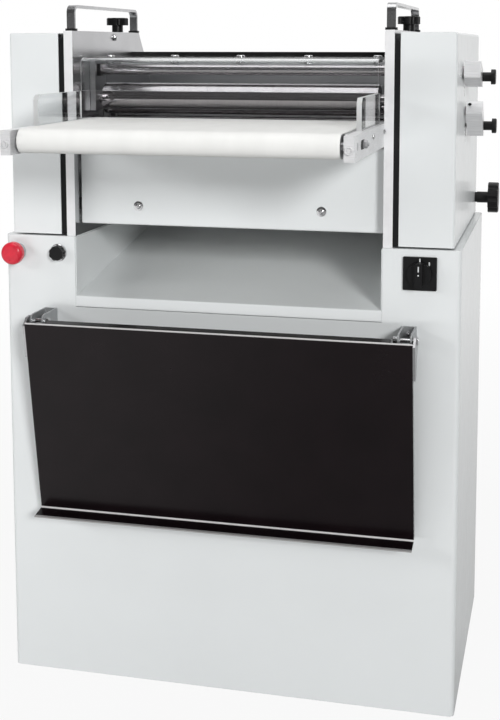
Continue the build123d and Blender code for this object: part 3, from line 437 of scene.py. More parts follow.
@dataclass(frozen=True)
class WovenBelt(Finish):
    """Food belt: a smooth off-white top with a fine fabric showing through."""

    pitch: float = 1.1 * MM
    depth: float = 0.05 * MM
    edge: float = 1.0 * MM
    streaks: Triple = (3.0, 1.0, 1.0)
    clouds: float = 9.0
    fade: float = 0.95
    gloss: Pair = (0.62, 0.5)
    skin: float = 300.0
    shine: float = 0.35

    def paint(self, graph: Graph) -> None:
        """Fill the tree of the belt."""
        threads = graph.math("MULTIPLY", graph.weave("X", self.pitch), graph.weave("Y", self.pitch))
        flour = graph.noise(graph.place(self.streaks), self.clouds, MANY_LAYERS)
        graph.surface(
            Base_Color=graph.shade(flour, self.colour, self.fade),
            Roughness=graph.span(flour, *self.gloss),
            Specular_IOR_Level=self.shine,
        )
        skin = graph.noise(graph.place(), self.skin, FEW_LAYERS)
        graph.relief(graph.math("ADD", threads, skin), self.depth, self.edge)


@dataclass(frozen=True)
class ClearSheet(Finish):
    """Polished acrylic sheet with faint wiping marks and pale sawn edges."""

    edge: Colour
    marks: Ramp = (0.02, 0.07, 0.45, 0.75)
    wiping: Triple = (4.0, 90.0, 90.0)
    fade: float = 0.98
    edge_fade: float = 0.97
    edge_roughness: float = 0.35
    edge_clear: float = 0.4
    waves: float = 25.0
    depth: float = 0.004 * MM
    index: float = 1.49
    margin: float = 0.5 * MM
    foot: Pair = (0.1 * MM, 0.2 * MM)

    def paint(self, graph: Graph) -> None:
        """Fill the tree of the sheet."""
        wiped = graph.noise(graph.place(self.wiping), 1.0, MANY_LAYERS)
        sawn = self.sawn(graph)
        rough = graph.between(sawn, 0.0, self.edge_roughness)
        body = graph.shade(wiped, self.colour, self.fade)
        graph.surface(
            Roughness=graph.math("ADD", graph.span(wiped, *self.marks), rough),
            Base_Color=graph.blend(sawn, body, graph.shade(wiped, self.edge, self.edge_fade)),
            Transmission_Weight=graph.between(sawn, 1.0, self.edge_clear),
            IOR=self.index,
        )
        graph.relief(graph.noise(graph.place(), self.waves, FEW_LAYERS), self.depth)

    def sawn(self, graph: Graph) -> Socket:
        """Find the sawn edges: the guides' narrow faces, and the guard's ends and lower edge.

        Args:
            graph: Tree of the finish.

        Returns:
            The socket of the result, 1 on an edge.
        """
        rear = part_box("belt_guides")[1].y + self.margin
        rise, width = self.foot
        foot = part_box("guard_sheet")[0].z + rise
        guides = graph.change(graph.along(BACK), rear, 1.0, 0.0, self.margin)
        across = graph.facing(RIGHT)
        ends = graph.math("MAXIMUM", across, graph.change(graph.along(UP), foot, 1.0, 0.0, width))
        narrow = graph.math("MULTIPLY", guides, graph.between(across, 1.0, 0.0))
        return graph.math("MAXIMUM", narrow, graph.math("MULTIPLY", graph.between(guides, 1.0, 0.0), ends))


@dataclass(frozen=True)
class DarkTable(Finish):
    """Dark glossy table sheet, bare at its cut sides, with a painted highlight of bright metal along its two
    bends.

    The highlight lines are measured from the hinge: crown and foot along the sheet, fore, fold and rim out of
    it.
    """

    bright: Colour
    hinge: Triple
    lean: float = radians(9.1)
    crown: float = 3.0 * MM
    fore: float = 24.6 * MM
    foot: float = -346.4 * MM
    fold: float = 29.2 * MM
    rim: float = 54.4 * MM
    rim_width: float = 1.2 * MM
    rim_share: float = 0.5
    clouds: float = 14.0
    scuffs: Triple = (30.0, 400.0, 400.0)
    depth: float = 0.002 * MM
    edge: float = 0.8 * MM
    shades: Pair = (0.8, 1.15)
    bare_shades: Pair = (0.42, 0.5)
    highlight_fade: float = 0.9
    highlight_metal: float = 0.3
    gloss: Pair = (0.2, 0.26)
    highlight_gloss: float = 0.25
    shine: float = 0.22

    def paint(self, graph: Graph) -> None:
        """Fill the tree of the table: the dark face, then the bare sides, then the painted highlight."""
        # The bends and the rim get a painted highlight: bright metal colour where the sheet catches the
        # light.
        painted_highlight = self.painted_highlight(graph)
        bare = graph.facing(RIGHT)
        cloud = graph.noise(graph.place(), self.clouds, MANY_LAYERS)
        scuffs = graph.noise(graph.place(self.scuffs), 1.0)
        face = graph.shade(cloud, self.colour, *self.shades)
        sides = graph.blend(bare, face, graph.shade(scuffs, self.bright, *self.bare_shades))
        metal = graph.between(painted_highlight, 0.0, self.highlight_metal)
        rough = graph.between(painted_highlight, 0.0, self.highlight_gloss)
        graph.surface(
            Base_Color=graph.blend(painted_highlight, sides, graph.shade(scuffs, self.bright, self.highlight_fade)),
            Metallic=graph.math("MAXIMUM", metal, bare),
            Roughness=graph.math("ADD", graph.span(scuffs, *self.gloss), rough),
            Specular_IOR_Level=self.shine,
        )
        graph.relief(scuffs, self.depth, self.edge)

    def painted_highlight(self, graph: Graph) -> Socket:
        """Find where the highlight is painted: the upper bend, the lower bend and the rim.

        Args:
            graph: Tree of the finish.

        Returns:
            The socket of the result, 1 on the painted highlight.
        """
        height = graph.along((0.0, -sin(self.lean), cos(self.lean)), self.hinge)
        reach = graph.along((0.0, -cos(self.lean), -sin(self.lean)), self.hinge)
        upper = (graph.change(height, self.crown, 0.0, 1.0), graph.change(reach, self.fore, 0.0, 1.0))
        lower = (graph.change(height, self.foot, 1.0, 0.0), graph.change(reach, self.fold, 1.0, 0.0))
        rim = graph.change(reach, self.rim, 0.0, self.rim_share, self.rim_width)
        bends = graph.math("MAXIMUM", graph.math("MULTIPLY", *upper), graph.math("MULTIPLY", *lower))
        return graph.math("MAXIMUM", bends, rim)


def centre(name: str) -> Vector:
    """Give the middle of a node's box."""
    low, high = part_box(name)
    return (low + high) / 2


class Palette:
    """All finishes of the machine, made once and given out by slot."""

    def __init__(self) -> None:
        """Mix every finish."""
        grey = (0.5, 0.5, 0.51)
        turned = (900.0, 2.0, 2.0)
        finishes: dict[Slot, Finish] = {
            Slot.POWDER: PowderCoat((0.82, 0.845, 0.85)),
            Slot.STAINLESS: GrainedMetal(grey, 0.28, (2.0, 700.0, 700.0)),
            Slot.PLATE: GroundPlate(grey, 0.2, (300.0, 8.0, 8.0), 0.004 * MM, 0.06),
            Slot.STEEL: GrainedMetal(grey, 0.3, turned),
            Slot.CHROME: GrainedMetal((0.72, 0.72, 0.73), 0.1, turned, 0.002 * MM, 0.05),
            Slot.ROLLER: GrainedMetal((0.42, 0.4, 0.41), 0.08, turned, 0.0002 * MM, 0.03),
            Slot.ZINC: GrainedMetal((0.5, 0.51, 0.52), 0.42, (30.0, 30.0, 30.0), metal=0.8),
            Slot.HANDLE: GrainedMetal(grey, 0.2, (6.0, 60.0, 60.0), 0.002 * MM, 0.05),
            Slot.ALUMINIUM: GrainedMetal((0.86, 0.86, 0.87), 0.36, (40.0, 40.0, 600.0), metal=0.35),
            Slot.CASTING: PowderCoat((0.2, 0.24, 0.28), 0.5, 300.0, 0.08 * MM),
            Slot.BELT: WovenBelt((0.88, 0.88, 0.86)),
            Slot.DRIVE_BELT: Moulding((0.05, 0.05, 0.05), 0.7, 500.0, 0.08 * MM),
            Slot.SEAL: Moulding((0.004, 0.004, 0.0045), 0.5, 600.0, 0.03 * MM),
            Slot.BLACK_PLASTIC: Moulding((0.005, 0.005, 0.0055), 0.38, 800.0),
            Slot.GREY_PLASTIC: Moulding((0.42, 0.44, 0.45), 0.35),
            Slot.RED_PLASTIC: Moulding((0.7, 0.025, 0.05), 0.3, 700.0, 0.01 * MM, 0.3),
            Slot.ACRYLIC: ClearSheet((0.96, 0.975, 0.98), (0.9, 0.91, 0.91)),
            # The table's second colour is bare metal at its cut sides and a painted highlight along its bends
            # and rim.
            Slot.TABLE: DarkTable((0.0072, 0.0044, 0.0053), (0.8, 0.79, 0.79), tuple(centre("hinge_pins"))),
            Slot.BLACK_PAINT: Moulding((0.010, 0.010, 0.010), 0.35),
        }
        self.made: dict[Slot, bpy.types.Material] = {}
        for slot, finish in finishes.items():
            graph = Graph(slot.title)
            finish.paint(graph)
            self.made[slot] = graph.material

    def dress(self, piece: Piece, slot: Slot) -> None:
        """Give a piece one finish all over."""
        piece.data.materials.clear()
        piece.data.materials.append(self.made[slot])


class Bench:
    """Steps of modelling that the pieces share."""

    @staticmethod
    def take(piece: Piece) -> Piece:
        """Make a piece the only selected and active one."""
        bpy.ops.object.select_all(action="DESELECT")
        piece.select_set(True)
        bpy.context.view_layer.objects.active = piece
        return piece

    @staticmethod
    def place(piece: Piece, where: Matrix) -> Piece:
        """Move a piece to a place and keep the place in its mesh."""
        Bench.take(piece).matrix_world = where
        return Bench.apply()

    @staticmethod
    def apply() -> Piece:
        """Put the active piece's place in its mesh."""
        bpy.ops.object.transform_apply(location=True, rotation=True, scale=True)
        return bpy.context.object

    @staticmethod
    def drum(sides: int, radius: float, height: float, base: float = 0.0, profile: Profile = ()) -> Piece:
        """Stand a prism on the bench, with a top that is drawn up in steps.

        Args:
            sides: Number of sides.
            radius: Radius to its corners.
            height: Its height with the steps.
            base: Height of its foot.
            profile: Share of the height and scale of the face of each step.

        Returns:
            The new piece.
        """
        straight = height * (1.0 - sum(rise for rise, _ in profile))
        middle = (0.0, 0.0, base + straight / 2)
        bpy.ops.mesh.primitive_cylinder_add(vertices=sides, radius=radius, depth=straight, location=middle)
        piece = Bench.apply()
        if profile:
            Bench.pick_top(piece)
            for rise, scale in profile:
                Bench.step(height * rise, scale)
            Bench.settle()
        return piece

    @staticmethod
    def block(size: Triple, middle: Triple) -> Piece:
        """Put a rectangular block of a size on the bench, about its middle."""
        bpy.ops.mesh.primitive_cube_add(size=1.0)
        return Bench.place(bpy.context.object, Matrix.LocRotScale(Vector(middle), None, Vector(size)))

    @staticmethod
    def pick(piece: Piece, kind: str, test: Callable[[Element], bool]) -> None:
        """Go into edit mode with some faces or edges selected.

        Args:
            piece: Piece to edit.
            kind: FACE or EDGE.
            test: Says whether a face or edge is selected.
        """
        Bench.take(piece)
        bpy.ops.object.mode_set(mode="EDIT")
        bpy.ops.mesh.select_mode(type=kind)
        bpy.ops.mesh.select_all(action="DESELECT")
        mesh = bmesh.from_edit_mesh(piece.data)
        for element in mesh.faces if kind == "FACE" else mesh.edges:
            if test(element):
                element.select_set(True)
        bmesh.update_edit_mesh(piece.data)

    @staticmethod
    def pick_top(piece: Piece) -> None:
        """Go into edit mode with the highest face selected."""
        top = max(vertex.co.z for vertex in piece.data.vertices) - TOUCH
        Bench.pick(piece, "FACE", lambda face: face.calc_center_median().z > top)

    @staticmethod
    def settle() -> None:
        """Leave edit mode."""
        bpy.ops.object.mode_set(mode="OBJECT")

    @staticmethod
    def step(rise: float, scale: float) -> None:
        """Extrude the selected faces upwards, or down for a negative rise, and scale them across the axis."""
        bpy.ops.mesh.extrude_region_move(TRANSFORM_OT_translate={"value": (0.0, 0.0, rise)})
        bpy.ops.transform.resize(value=(scale, scale, 1.0))

    @staticmethod
    def modify(piece: Piece, kind: str, **settings: float | str | Piece) -> Piece:
        """Apply a modifier to a piece.

        Args:
            piece: Piece to change.
            kind: Kind of the modifier.
            settings: Its settings.

        Returns:
            The same piece.
        """
        modifier = Bench.take(piece).modifiers.new(kind, kind)
        for name, value in settings.items():
            setattr(modifier, name, value)
        bpy.ops.object.modifier_apply(modifier=modifier.name)
        return piece

    @staticmethod
    def bevel(piece: Piece, width: float, segments: int = 2) -> Piece:
        """Round the sharp edges of a piece."""
        limit = {"limit_method": "ANGLE", "angle_limit": BEVEL_ANGLE}
        return Bench.modify(piece, "BEVEL", width=width, segments=segments, **limit)

    @staticmethod
    def cut(piece: Piece, cutter: Piece) -> None:
        """Cut one piece out of another and throw the cutter away."""
        Bench.modify(piece, "BOOLEAN", operation="DIFFERENCE", solver="EXACT", object=cutter)
        bpy.data.objects.remove(cutter, do_unlink=True)

    @staticmethod
    def fuse(pieces: Sequence[Piece]) -> Piece:
        """Join several pieces into the first.

        Args:
            pieces: Pieces to join.

        Returns:
            The joined piece.
        """
        Bench.take(pieces[0])
        for piece in pieces[1:]:
            piece.select_set(True)
        if len(pieces) > 1:
            bpy.ops.object.join()
        return pieces[0]

    @staticmethod
    def spread(name: str, pattern: Piece, spots: Iterable[Matrix]) -> Piece:
        """Copy a pattern to several places, join the copies and remove the pattern.

        Args:
            name: Name of the joined piece.
            pattern: Piece modelled at the origin, with its axis along +Z.
            spots: Places of the copies.

        Returns:
            The joined piece, with its place in its mesh.
        """
        Bench.take(pattern)
        bpy.ops.object.shade_smooth_by_angle(angle=SMOOTH_ANGLE)
        copies = []
        for where in spots:
            copy = pattern.copy()
            copy.data = pattern.data.copy()
            bpy.context.scene.collection.objects.link(copy)
            copies.append(Bench.place(copy, where))
        bpy.data.objects.remove(pattern, do_unlink=True)
        group = Bench.fuse(copies)
        group.name = group.data.name = name
        return group


def spot(point: Sequence[float], out: Sequence[float], turn: float = 0.0) -> Matrix:
    """Give the place of a fastener at a point, with its head looking out and turned about its own axis."""
    aim = Vector(out).to_track_quat("Z", "Y").to_matrix().to_4x4()
    return Matrix.Translation(Vector(point)) @ aim @ Matrix.Rotation(turn, 4, "Z")


def pair(point: Triple, out: Triple, turn: float = 0.0) -> list[Matrix]:
    """Give the places of a fastener on the right side of the machine and its twin, the left one first."""
    (x, y, z), (across, back, up), signs = point, out, [side.value for side in Side]
    return [spot((sign * x, y, z), (sign * across, back, up), sign * turn) for sign in signs]


@dataclass(frozen=True)
class CrossScrew:
    """Pan-head screw with a cross recess, on a flat washer."""

    radius: float = 5.2 * MM
    height: float = 3.4 * MM
    washer: float = 8.5 * MM
    washer_height: float = 1.4 * MM
    dome: Profile = ((0.3, 0.84), (0.15, 0.62))
    recess: Pair = (1.15, 0.26)
    ease: float = 0.25

    def build(self) -> Piece:
        """Model the screw with its washer."""
        washer = Bench.drum(WIDE_SIDES, self.washer, self.washer_height)
        Bench.bevel(washer, self.washer_height * self.ease)
        base = self.washer_height * SEAT
        head = Bench.drum(HEAD_SIDES, self.radius, self.height, base, self.dome)
        length, width = (self.radius * share for share in self.recess)
        for turn in (0.0, pi / 2):
            bar = Bench.block((length, width, self.height), (0.0, 0.0, base + self.height))
            Bench.cut(head, Bench.place(bar, Matrix.Rotation(turn, 4, "Z")))
        return Bench.fuse([washer, head])


@dataclass(frozen=True)
class SocketScrew:
    """Button-head or cap screw with a hexagon socket."""

    radius: float
    height: float
    dome: Profile = ((0.4, 0.875), (0.2, 0.75))
    socket: float = 0.45
    ease: float = 1 / 14

    def build(self) -> Piece:
        """Model the screw's head."""
        head = Bench.drum(HEAD_SIDES, self.radius, self.height, profile=self.dome)
        socket = Bench.drum(HEXAGON, self.radius * self.socket, self.height, self.height * self.socket)
        Bench.cut(head, socket)
        return Bench.bevel(head, self.height * self.ease, 1)


@dataclass(frozen=True)
class HexNut:
    """Hexagon nut or bolt head on a washer, with the end of its bolt."""

    across: float
    height: float
    bolt: float
    bolt_stand: float
    washer: float = 0.62
    washer_height: float = 1.2 * MM
    chamfer: Profile = ((0.18, 0.9),)
    bolt_chamfer: Profile = ((0.2, 0.82),)
    bolt_foot: float = 0.95
    ease: float = 0.25

    def build(self) -> Piece:
        """Model the nut, its washer and the bolt end."""
        corner = self.across / 2 / cos(pi / HEXAGON)
        washer = Bench.drum(HEAD_SIDES, self.across * self.washer, self.washer_height)
        Bench.bevel(washer, self.washer_height * self.ease, 1)
        nut = Bench.drum(HEXAGON, corner, self.height, self.washer_height * SEAT, self.chamfer)
        foot = self.washer_height + self.height * self.bolt_foot
        end = Bench.drum(BOLT_SIDES, self.bolt, self.bolt_stand, foot, self.bolt_chamfer)
        return Bench.fuse([washer, nut, end])


@dataclass(frozen=True)
class RoundNut:
    """Turned nut with a raised rim and a bored middle, as on a tension screw."""

    radius: float
    height: float
    chamfer: Profile = ((0.2, 0.9),)
    rim: float = 0.22
    well: Pair = (-0.35, 0.95)
    groove: float = 0.14
    core: Pair = (0.3, 0.9)

    def build(self) -> Piece:
        """Model the nut: its rim, the well inside it and the core that stands in the well."""
        nut = Bench.drum(WIDE_SIDES, self.radius, self.height, profile=self.chamfer)
        Bench.pick_top(nut)
        for inset, (rise, scale) in ((self.rim, self.well), (self.groove, self.core)):
            bpy.ops.mesh.inset(thickness=self.radius * inset)
            Bench.step(self.height * rise, scale)
        Bench.settle()
        return nut


@dataclass(frozen=True)
class Stadium:
    """Flat plate with round ends, for slots and marks."""

    length: float
    width: float
    height: float
    corner: float = 0.48

    def build(self) -> Piece:
        """Model the plate, lying along X on the bench."""
        plate = Bench.block((self.length, self.width, self.height), (0.0, 0.0, self.height / 2))
        Bench.pick(plate, "EDGE", lambda edge: abs(edge.verts[0].co.z - edge.verts[1].co.z) > self.height / 2)
        size = min(self.length, self.width)
        bpy.ops.mesh.bevel(offset=size * self.corner, segments=CORNER_FACES, affect="EDGES")
        Bench.settle()
        return plate


Pattern = CrossScrew | SocketScrew | HexNut | RoundNut | Stadium


@dataclass
class Trim:
    """A sub-assembly of small pieces that ride on the machine."""

    palette: Palette

    def fit(self, piece: Piece, slot: Slot, body: str = "machine") -> None:
        """Dress a piece, put it on its body and report it.

        Args:
            piece: Finished piece.
            slot: Its finish.
            body: Name of the body that carries it.
        """
        self.palette.dress(piece, slot)
        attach(piece, body)
        LOG.info("%s on %s: %d faces", piece.name, body, len(piece.data.polygons))

    def add(
        self, name: str, pattern: Pattern, spots: Iterable[Matrix], slot: Slot, body: str = "machine"
    ) -> None:
        """Model a pattern at several places as one named piece, and fit it."""
        self.fit(Bench.spread(name, pattern.build(), spots), slot, body)


@dataclass
class ConveyorTrim(Trim):
    """Tension nuts, painted shade of the axle slots and screws on the side bars of the infeed conveyor."""

    nut: RoundNut = RoundNut(6.4 * MM, 5.0 * MM)
    nut_inset: float = 8 * MM
    nut_drop: float = 21 * MM
    # A flat black plate paints the shade inside each axle slot.
    slot: Stadium = Stadium(34 * MM, 14 * MM, 0.5 * MM)
    slot_shade_shift: float = 8 * MM
    axle: HexNut = HexNut(11 * MM, 5 * MM, 3.4 * MM, 2.5 * MM)
    axle_setback: float = 80 * MM
    axle_drop: float = 17 * MM
    screw: SocketScrew = SocketScrew(4.6 * MM, 3.2 * MM)
    screw_setbacks: tuple[float, ...] = (170 * MM, 288 * MM)
    screw_drop: float = 12 * MM

    def build(self) -> None:
        """Model the pieces of both bars."""
        low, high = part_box("conveyor_bars")
        axle, level = low.y + self.axle_setback, high.z - self.axle_drop
        nuts = pair((high.x - self.nut_inset, low.y, high.z - self.nut_drop), FRONT)
        self.add("tension_nuts", self.nut, nuts, Slot.ALUMINIUM)
        # Painted shade: flat black plates where the axle slots are.
        self.add("axle_slot_shade", self.slot, pair((high.x, axle - self.slot_shade_shift, level), RIGHT), Slot.SEAL)
        self.add("axle_nuts", self.axle, pair((high.x, axle, level), RIGHT), Slot.STEEL)
        screws = []
        for setback in self.screw_setbacks:
            screws += pair((high.x, low.y + setback, high.z - self.screw_drop), RIGHT)
        self.add("bar_screws", self.screw, screws, Slot.CHROME)


@dataclass
class HeadTrim(Trim):
    """Screws and scales on the moulding head. The levers' angles at rest and their swing are in degrees."""

    guard_screw: SocketScrew = SocketScrew(7.5 * MM, 2.4 * MM)
    guard_nut: HexNut = HexNut(13 * MM, 4 * MM, 4.0 * MM, 1.5 * MM)
    guard_places: tuple[int, ...] = (-2, -1, 0, 1, 2)
    guard_pitch: float = 122.5 * MM
    guard_row: float = 125 * MM
    guard_sink: float = 0.7 * MM
    button: SocketScrew = SocketScrew(6.5 * MM, 5.0 * MM)
    button_setback: float = 40 * MM
    button_drop: float = 10 * MM
    # Black pads under the handle legs paint the shade where the legs stand on the plates.
    foot: Stadium = Stadium(20 * MM, 10 * MM, 4.0 * MM, 0.2)
    foot_shade_inset: float = 7.5 * MM
    foot_shade_setback: float = 2.5 * MM
    set_screw: SocketScrew = SocketScrew(3.0 * MM, 2.0 * MM)
    set_screw_inset: float = 8 * MM
    lever_radius: float = 10 * MM
    levers: tuple[tuple[str, float], ...] = (("upper", -17.0), ("rear", -46.0))
    swing: float = 30.0
    steps: int = 7
    tick: Stadium = Stadium(6 * MM, 1.4 * MM, 0.2 * MM, 0.3)
    scale_radius: float = 50 * MM
    figure: float = 9 * MM
    figure_gap: float = 9 * MM
    figure_height: float = 0.1 * MM

    def build(self) -> None:
        """Model the pieces of the head."""
        self.build_guard()
        self.build_plates()
        self.build_levers()
        self.build_scales()

    def build_guard(self) -> None:
        """Model the row of screws and nuts that stiffens the guard's sheet."""
        low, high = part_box("guard_bar")
        row = low.y - self.guard_row
        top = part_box("guard_sheet")[1].z - self.guard_sink
        places = [self.guard_pitch * place for place in self.guard_places]
        heads = [spot((x, row, top), UP) for x in places]
        nuts = [spot((x, row, high.z - self.guard_sink), DOWN, x) for x in places]
        self.add("guard_screws", self.guard_screw, heads, Slot.CHROME, "guard")
        self.add("guard_nuts", self.guard_nut, nuts, Slot.CHROME, "guard")

    def build_plates(self) -> None:
        """Model the buttons on the plates' inner faces, and black pads that paint the shade at the handles'
        feet.
        """
        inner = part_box("conveyor_bars")[1].x
        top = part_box("side_plates")[1].z
        back = centre("guard_bar").y - self.button_setback
        self.add("plate_buttons", self.button, pair((inner, back, top - self.button_drop), LEFT), Slot.CHROME)
        low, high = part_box("bow_handles")
        # Painted shade at the foot of each handle leg.
        foot_shades = []
        for y in (low.y + self.foot_shade_setback, high.y - self.foot_shade_setback):
            foot_shades += pair((high.x - self.foot_shade_inset, y, top), UP)
        self.add("handle_foot_shade", self.foot, foot_shades, Slot.BLACK_PAINT)

    def build_levers(self) -> None:
        """Model the set screws that hold the levers on their shafts."""
        for name, rest in self.levers:
            shaft = centre(f"{name}_gap_shaft")
            middle = Vector((centre(f"{name}_lever").x - self.set_screw_inset, shaft.y, shaft.z))
            out = Vector((0.0, -cos(radians(rest)), -sin(radians(rest))))
            screws = [spot(middle + out * self.lever_radius, out)]
            self.add(f"{name}_lever_screws", self.set_screw, screws, Slot.BLACK_PAINT, f"{name}_gap")

    def build_scales(self) -> None:
        """Model the scales of plain numbers round the levers."""
        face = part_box("right_cover")[1].x
        ticks = []
        figures = []
        for name, rest in self.levers:
            shaft = centre(f"{name}_gap_shaft")
            middle = Vector((face, shaft.y, shaft.z))
            for step in range(self.steps):
                angle = radians(rest + self.swing * (2 * step / (self.steps - 1) - 1))
                ray = Vector((0.0, cos(angle), sin(angle)))
                ticks.append(spot(middle + ray * self.scale_radius, RIGHT, angle))
                if step % 2 == 0:
                    place = middle + ray * (self.scale_radius + self.figure_gap)
                    figures.append(self.build_figure(str(step + 1), place))
        self.add("gap_ticks", self.tick, ticks, Slot.BLACK_PAINT)
        numbers = Bench.fuse(figures)
        numbers.name = "gap_numbers"
        self.fit(numbers, Slot.BLACK_PAINT)

    def build_figure(self, text: str, middle: Vector) -> Piece:
        """Model one number of a scale.

        Args:
            text: The number.
            middle: Its place on the cover's outer face.

        Returns:
            The number as a mesh, with its place in its mesh.
        """
        bpy.ops.object.text_add()
        letter = bpy.context.object
        letter.data.body = text
        letter.data.size = self.figure
        letter.data.align_x = letter.data.align_y = "CENTER"
        letter.data.extrude = self.figure_height
        bpy.ops.object.convert(target="MESH")
        upright = Matrix((BACK, UP, RIGHT)).transposed().to_4x4()
        lift = Vector((self.figure_height, 0.0, 0.0))
        return Bench.place(bpy.context.object, Matrix.Translation(middle + lift) @ upright)


@dataclass
class FrontTrim(Trim):
    """Screws of the apron and brackets, and the marks of the main switch."""

    apron_screw: CrossScrew = CrossScrew()
    apron_place: float = 164 * MM
    apron_rise: float = 34 * MM
    apron_turn: float = 0.3
    bolt: HexNut = HexNut(8 * MM, 4 * MM, 2.6 * MM, 1.0 * MM)
    bolt_inset: float = 12 * MM
    bolt_sink: float = 3 * MM
    mark: Stadium = Stadium(6.0 * MM, 2.2 * MM, 0.2 * MM, 0.3)
    mark_places: tuple[Pair, ...] = ((0.0, 22.5 * MM), (15.5 * MM, 17.0 * MM))
    pointer: Stadium = Stadium(9.5 * MM, 2.0 * MM, 0.2 * MM, 0.3)
    pointer_rise: float = 11 * MM
    dot: Stadium = Stadium(2.6 * MM, 2.6 * MM, 0.2 * MM)
    dot_rise: float = 1 * MM

    def build(self) -> None:
        """Model the pieces of the front."""
        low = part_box("apron")[0]
        place = (self.apron_place, low.y, low.z + self.apron_rise)
        self.add("apron_screws", self.apron_screw, pair(place, FRONT, self.apron_turn), Slot.CHROME)
        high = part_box("table_brackets")[1]
        place = (high.x - self.bolt_inset, high.y - self.bolt_sink, centre("table_brackets").z)
        self.add("bracket_bolts", self.bolt, pair(place, FRONT), Slot.CHROME)
        self.build_switch()

    def build_switch(self) -> None:
        """Model the switch's two marks and the pointer on its grip."""
        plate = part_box("switch_plate")[0].y
        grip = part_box("switch_knob")[0].y
        x, _, z = centre("switch_plate")
        marks = [spot((x + right, plate, z + up), FRONT, pi / 2) for right, up in self.mark_places]
        self.add("switch_marks", self.mark, marks, Slot.POWDER)
        line = [spot((x, grip, z + self.pointer_rise), FRONT, pi / 2)]
        self.add("switch_pointer", self.pointer, line, Slot.POWDER, "switch")
        self.add("switch_dot", self.dot, [spot((x, grip, z + self.dot_rise), FRONT)], Slot.POWDER, "switch")


@dataclass
class RearTrim(Trim):
    """Screws of the rear wall, the rear cover and the side covers."""

    screw: CrossScrew = CrossScrew(4.4 * MM, 2.8 * MM, 6.5 * MM, 1.0 * MM)
    inset: float = 22 * MM
    cover_pitch: float = 150 * MM

    def build(self) -> None:
        """Model the screws."""
        low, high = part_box("rear_wrap")
        rows = (low.z + self.inset, (low.z + high.z) / 2, high.z - self.inset)
        wall = [spot((x, high.y, z), BACK, x + z) for x in self.columns(low, high) for z in rows]
        self.add("rear_wall_screws", self.screw, wall, Slot.CHROME)
        low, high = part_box("rear_cover")
        cover = [spot((x, high.y, low.z + self.inset), BACK, x) for x in self.columns(low, high)]
        self.add("rear_cover_screws", self.screw, cover, Slot.CHROME)
        sides = []
        for name in ("left_cover", "right_cover"):
            low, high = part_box(name)
            for z in (low.z + self.inset, low.z + self.cover_pitch):
                sides.append(spot(((low.x + high.x) / 2, high.y, z), BACK, z))
        self.add("side_cover_screws", self.screw, sides, Slot.CHROME)

    def columns(self, low: Vector, high: Vector) -> Triple:
        """Give the columns of screws across a wall, from the corners of its box."""
        return low.x + self.inset, 0.0, high.x - self.inset


@dataclass
class Machine:
    """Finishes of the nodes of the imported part."""

    palette: Palette

    NODES: ClassVar[dict[Slot, tuple[str, ...]]] = {
        Slot.POWDER: (
            "base_tray", "front_wrap", "rear_wrap", "top_decks", "chute", "left_cover", "right_cover",
            "apron",
        ),
        Slot.PLATE: ("side_plates",),
        Slot.SEAL: ("cover_seals",),
        Slot.BLACK_PAINT: ("tie_bars",),
        Slot.CHROME: ("hinge_pins", "start_bezel"),
        Slot.HANDLE: ("bow_handles",),
        Slot.ROLLER: ("centre_roller", "upper_roller", "rear_roller", "upper_gap_shaft", "rear_gap_shaft"),
        Slot.ZINC: ("table_brackets",),
        Slot.ALUMINIUM: ("conveyor_bars", "guard_bar", "upper_lever", "rear_lever", "pressure_board"),
        Slot.STAINLESS: ("rear_cover", "belt_beds", "upper_hangers", "rear_hangers", "table_arms"),
        Slot.STEEL: (
            "centre_drive", "upper_gear", "rear_gear", "roller_bearings", "nose_roller", "feed_roller",
            "mould_front_roller", "mould_rear_roller", "lift_shaft", "motor_pulley",
        ),
        Slot.CASTING: ("gear_motor",),
        Slot.BELT: ("feed_belt", "mould_belt"),
        Slot.DRIVE_BELT: ("main_belt", "transfer_belts"),
        Slot.BLACK_PLASTIC: (
            "upper_plunger", "rear_plunger", "hand_knob", "cable_gland", "start_cap", "switch_plate",
            "switch_knob", "left_star_knob", "right_star_knob",
        ),
        Slot.GREY_PLASTIC: ("control_box", "estop_collar"),
        Slot.RED_PLASTIC: ("estop_head",),
        Slot.ACRYLIC: ("guard_sheet", "belt_guides"),
        Slot.TABLE: ("table_panel",),
    }

    def dress(self) -> None:
        """Give every node its finish."""
        left = set(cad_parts)
        for slot, names in self.NODES.items():
            for name in names:
                self.palette.dress(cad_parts[name], slot)
            left -= set(names)
        LOG.info("nodes without a finish: %s", sorted(left))


@dataclass(frozen=True)
class Lamp:
    """One soft area lamp that looks at a point."""

    name: str
    place: Triple
    target: Triple
    size: Pair
    power: float
    mirrored: bool = True

    def build(self) -> None:
        """Put the lamp in the studio."""
        lamp = bpy.data.lights.new(self.name, "AREA")
        lamp.energy = self.power
        lamp.shape = "RECTANGLE"
        lamp.size, lamp.size_y = self.size
        holder = bpy.data.objects.new(self.name, lamp)
        bpy.context.scene.collection.objects.link(holder)
        holder.visible_glossy = self.mirrored
        holder.location = self.place
        holder.rotation_euler = (Vector(self.target) - Vector(self.place)).to_track_quat("-Z", "Y").to_euler()


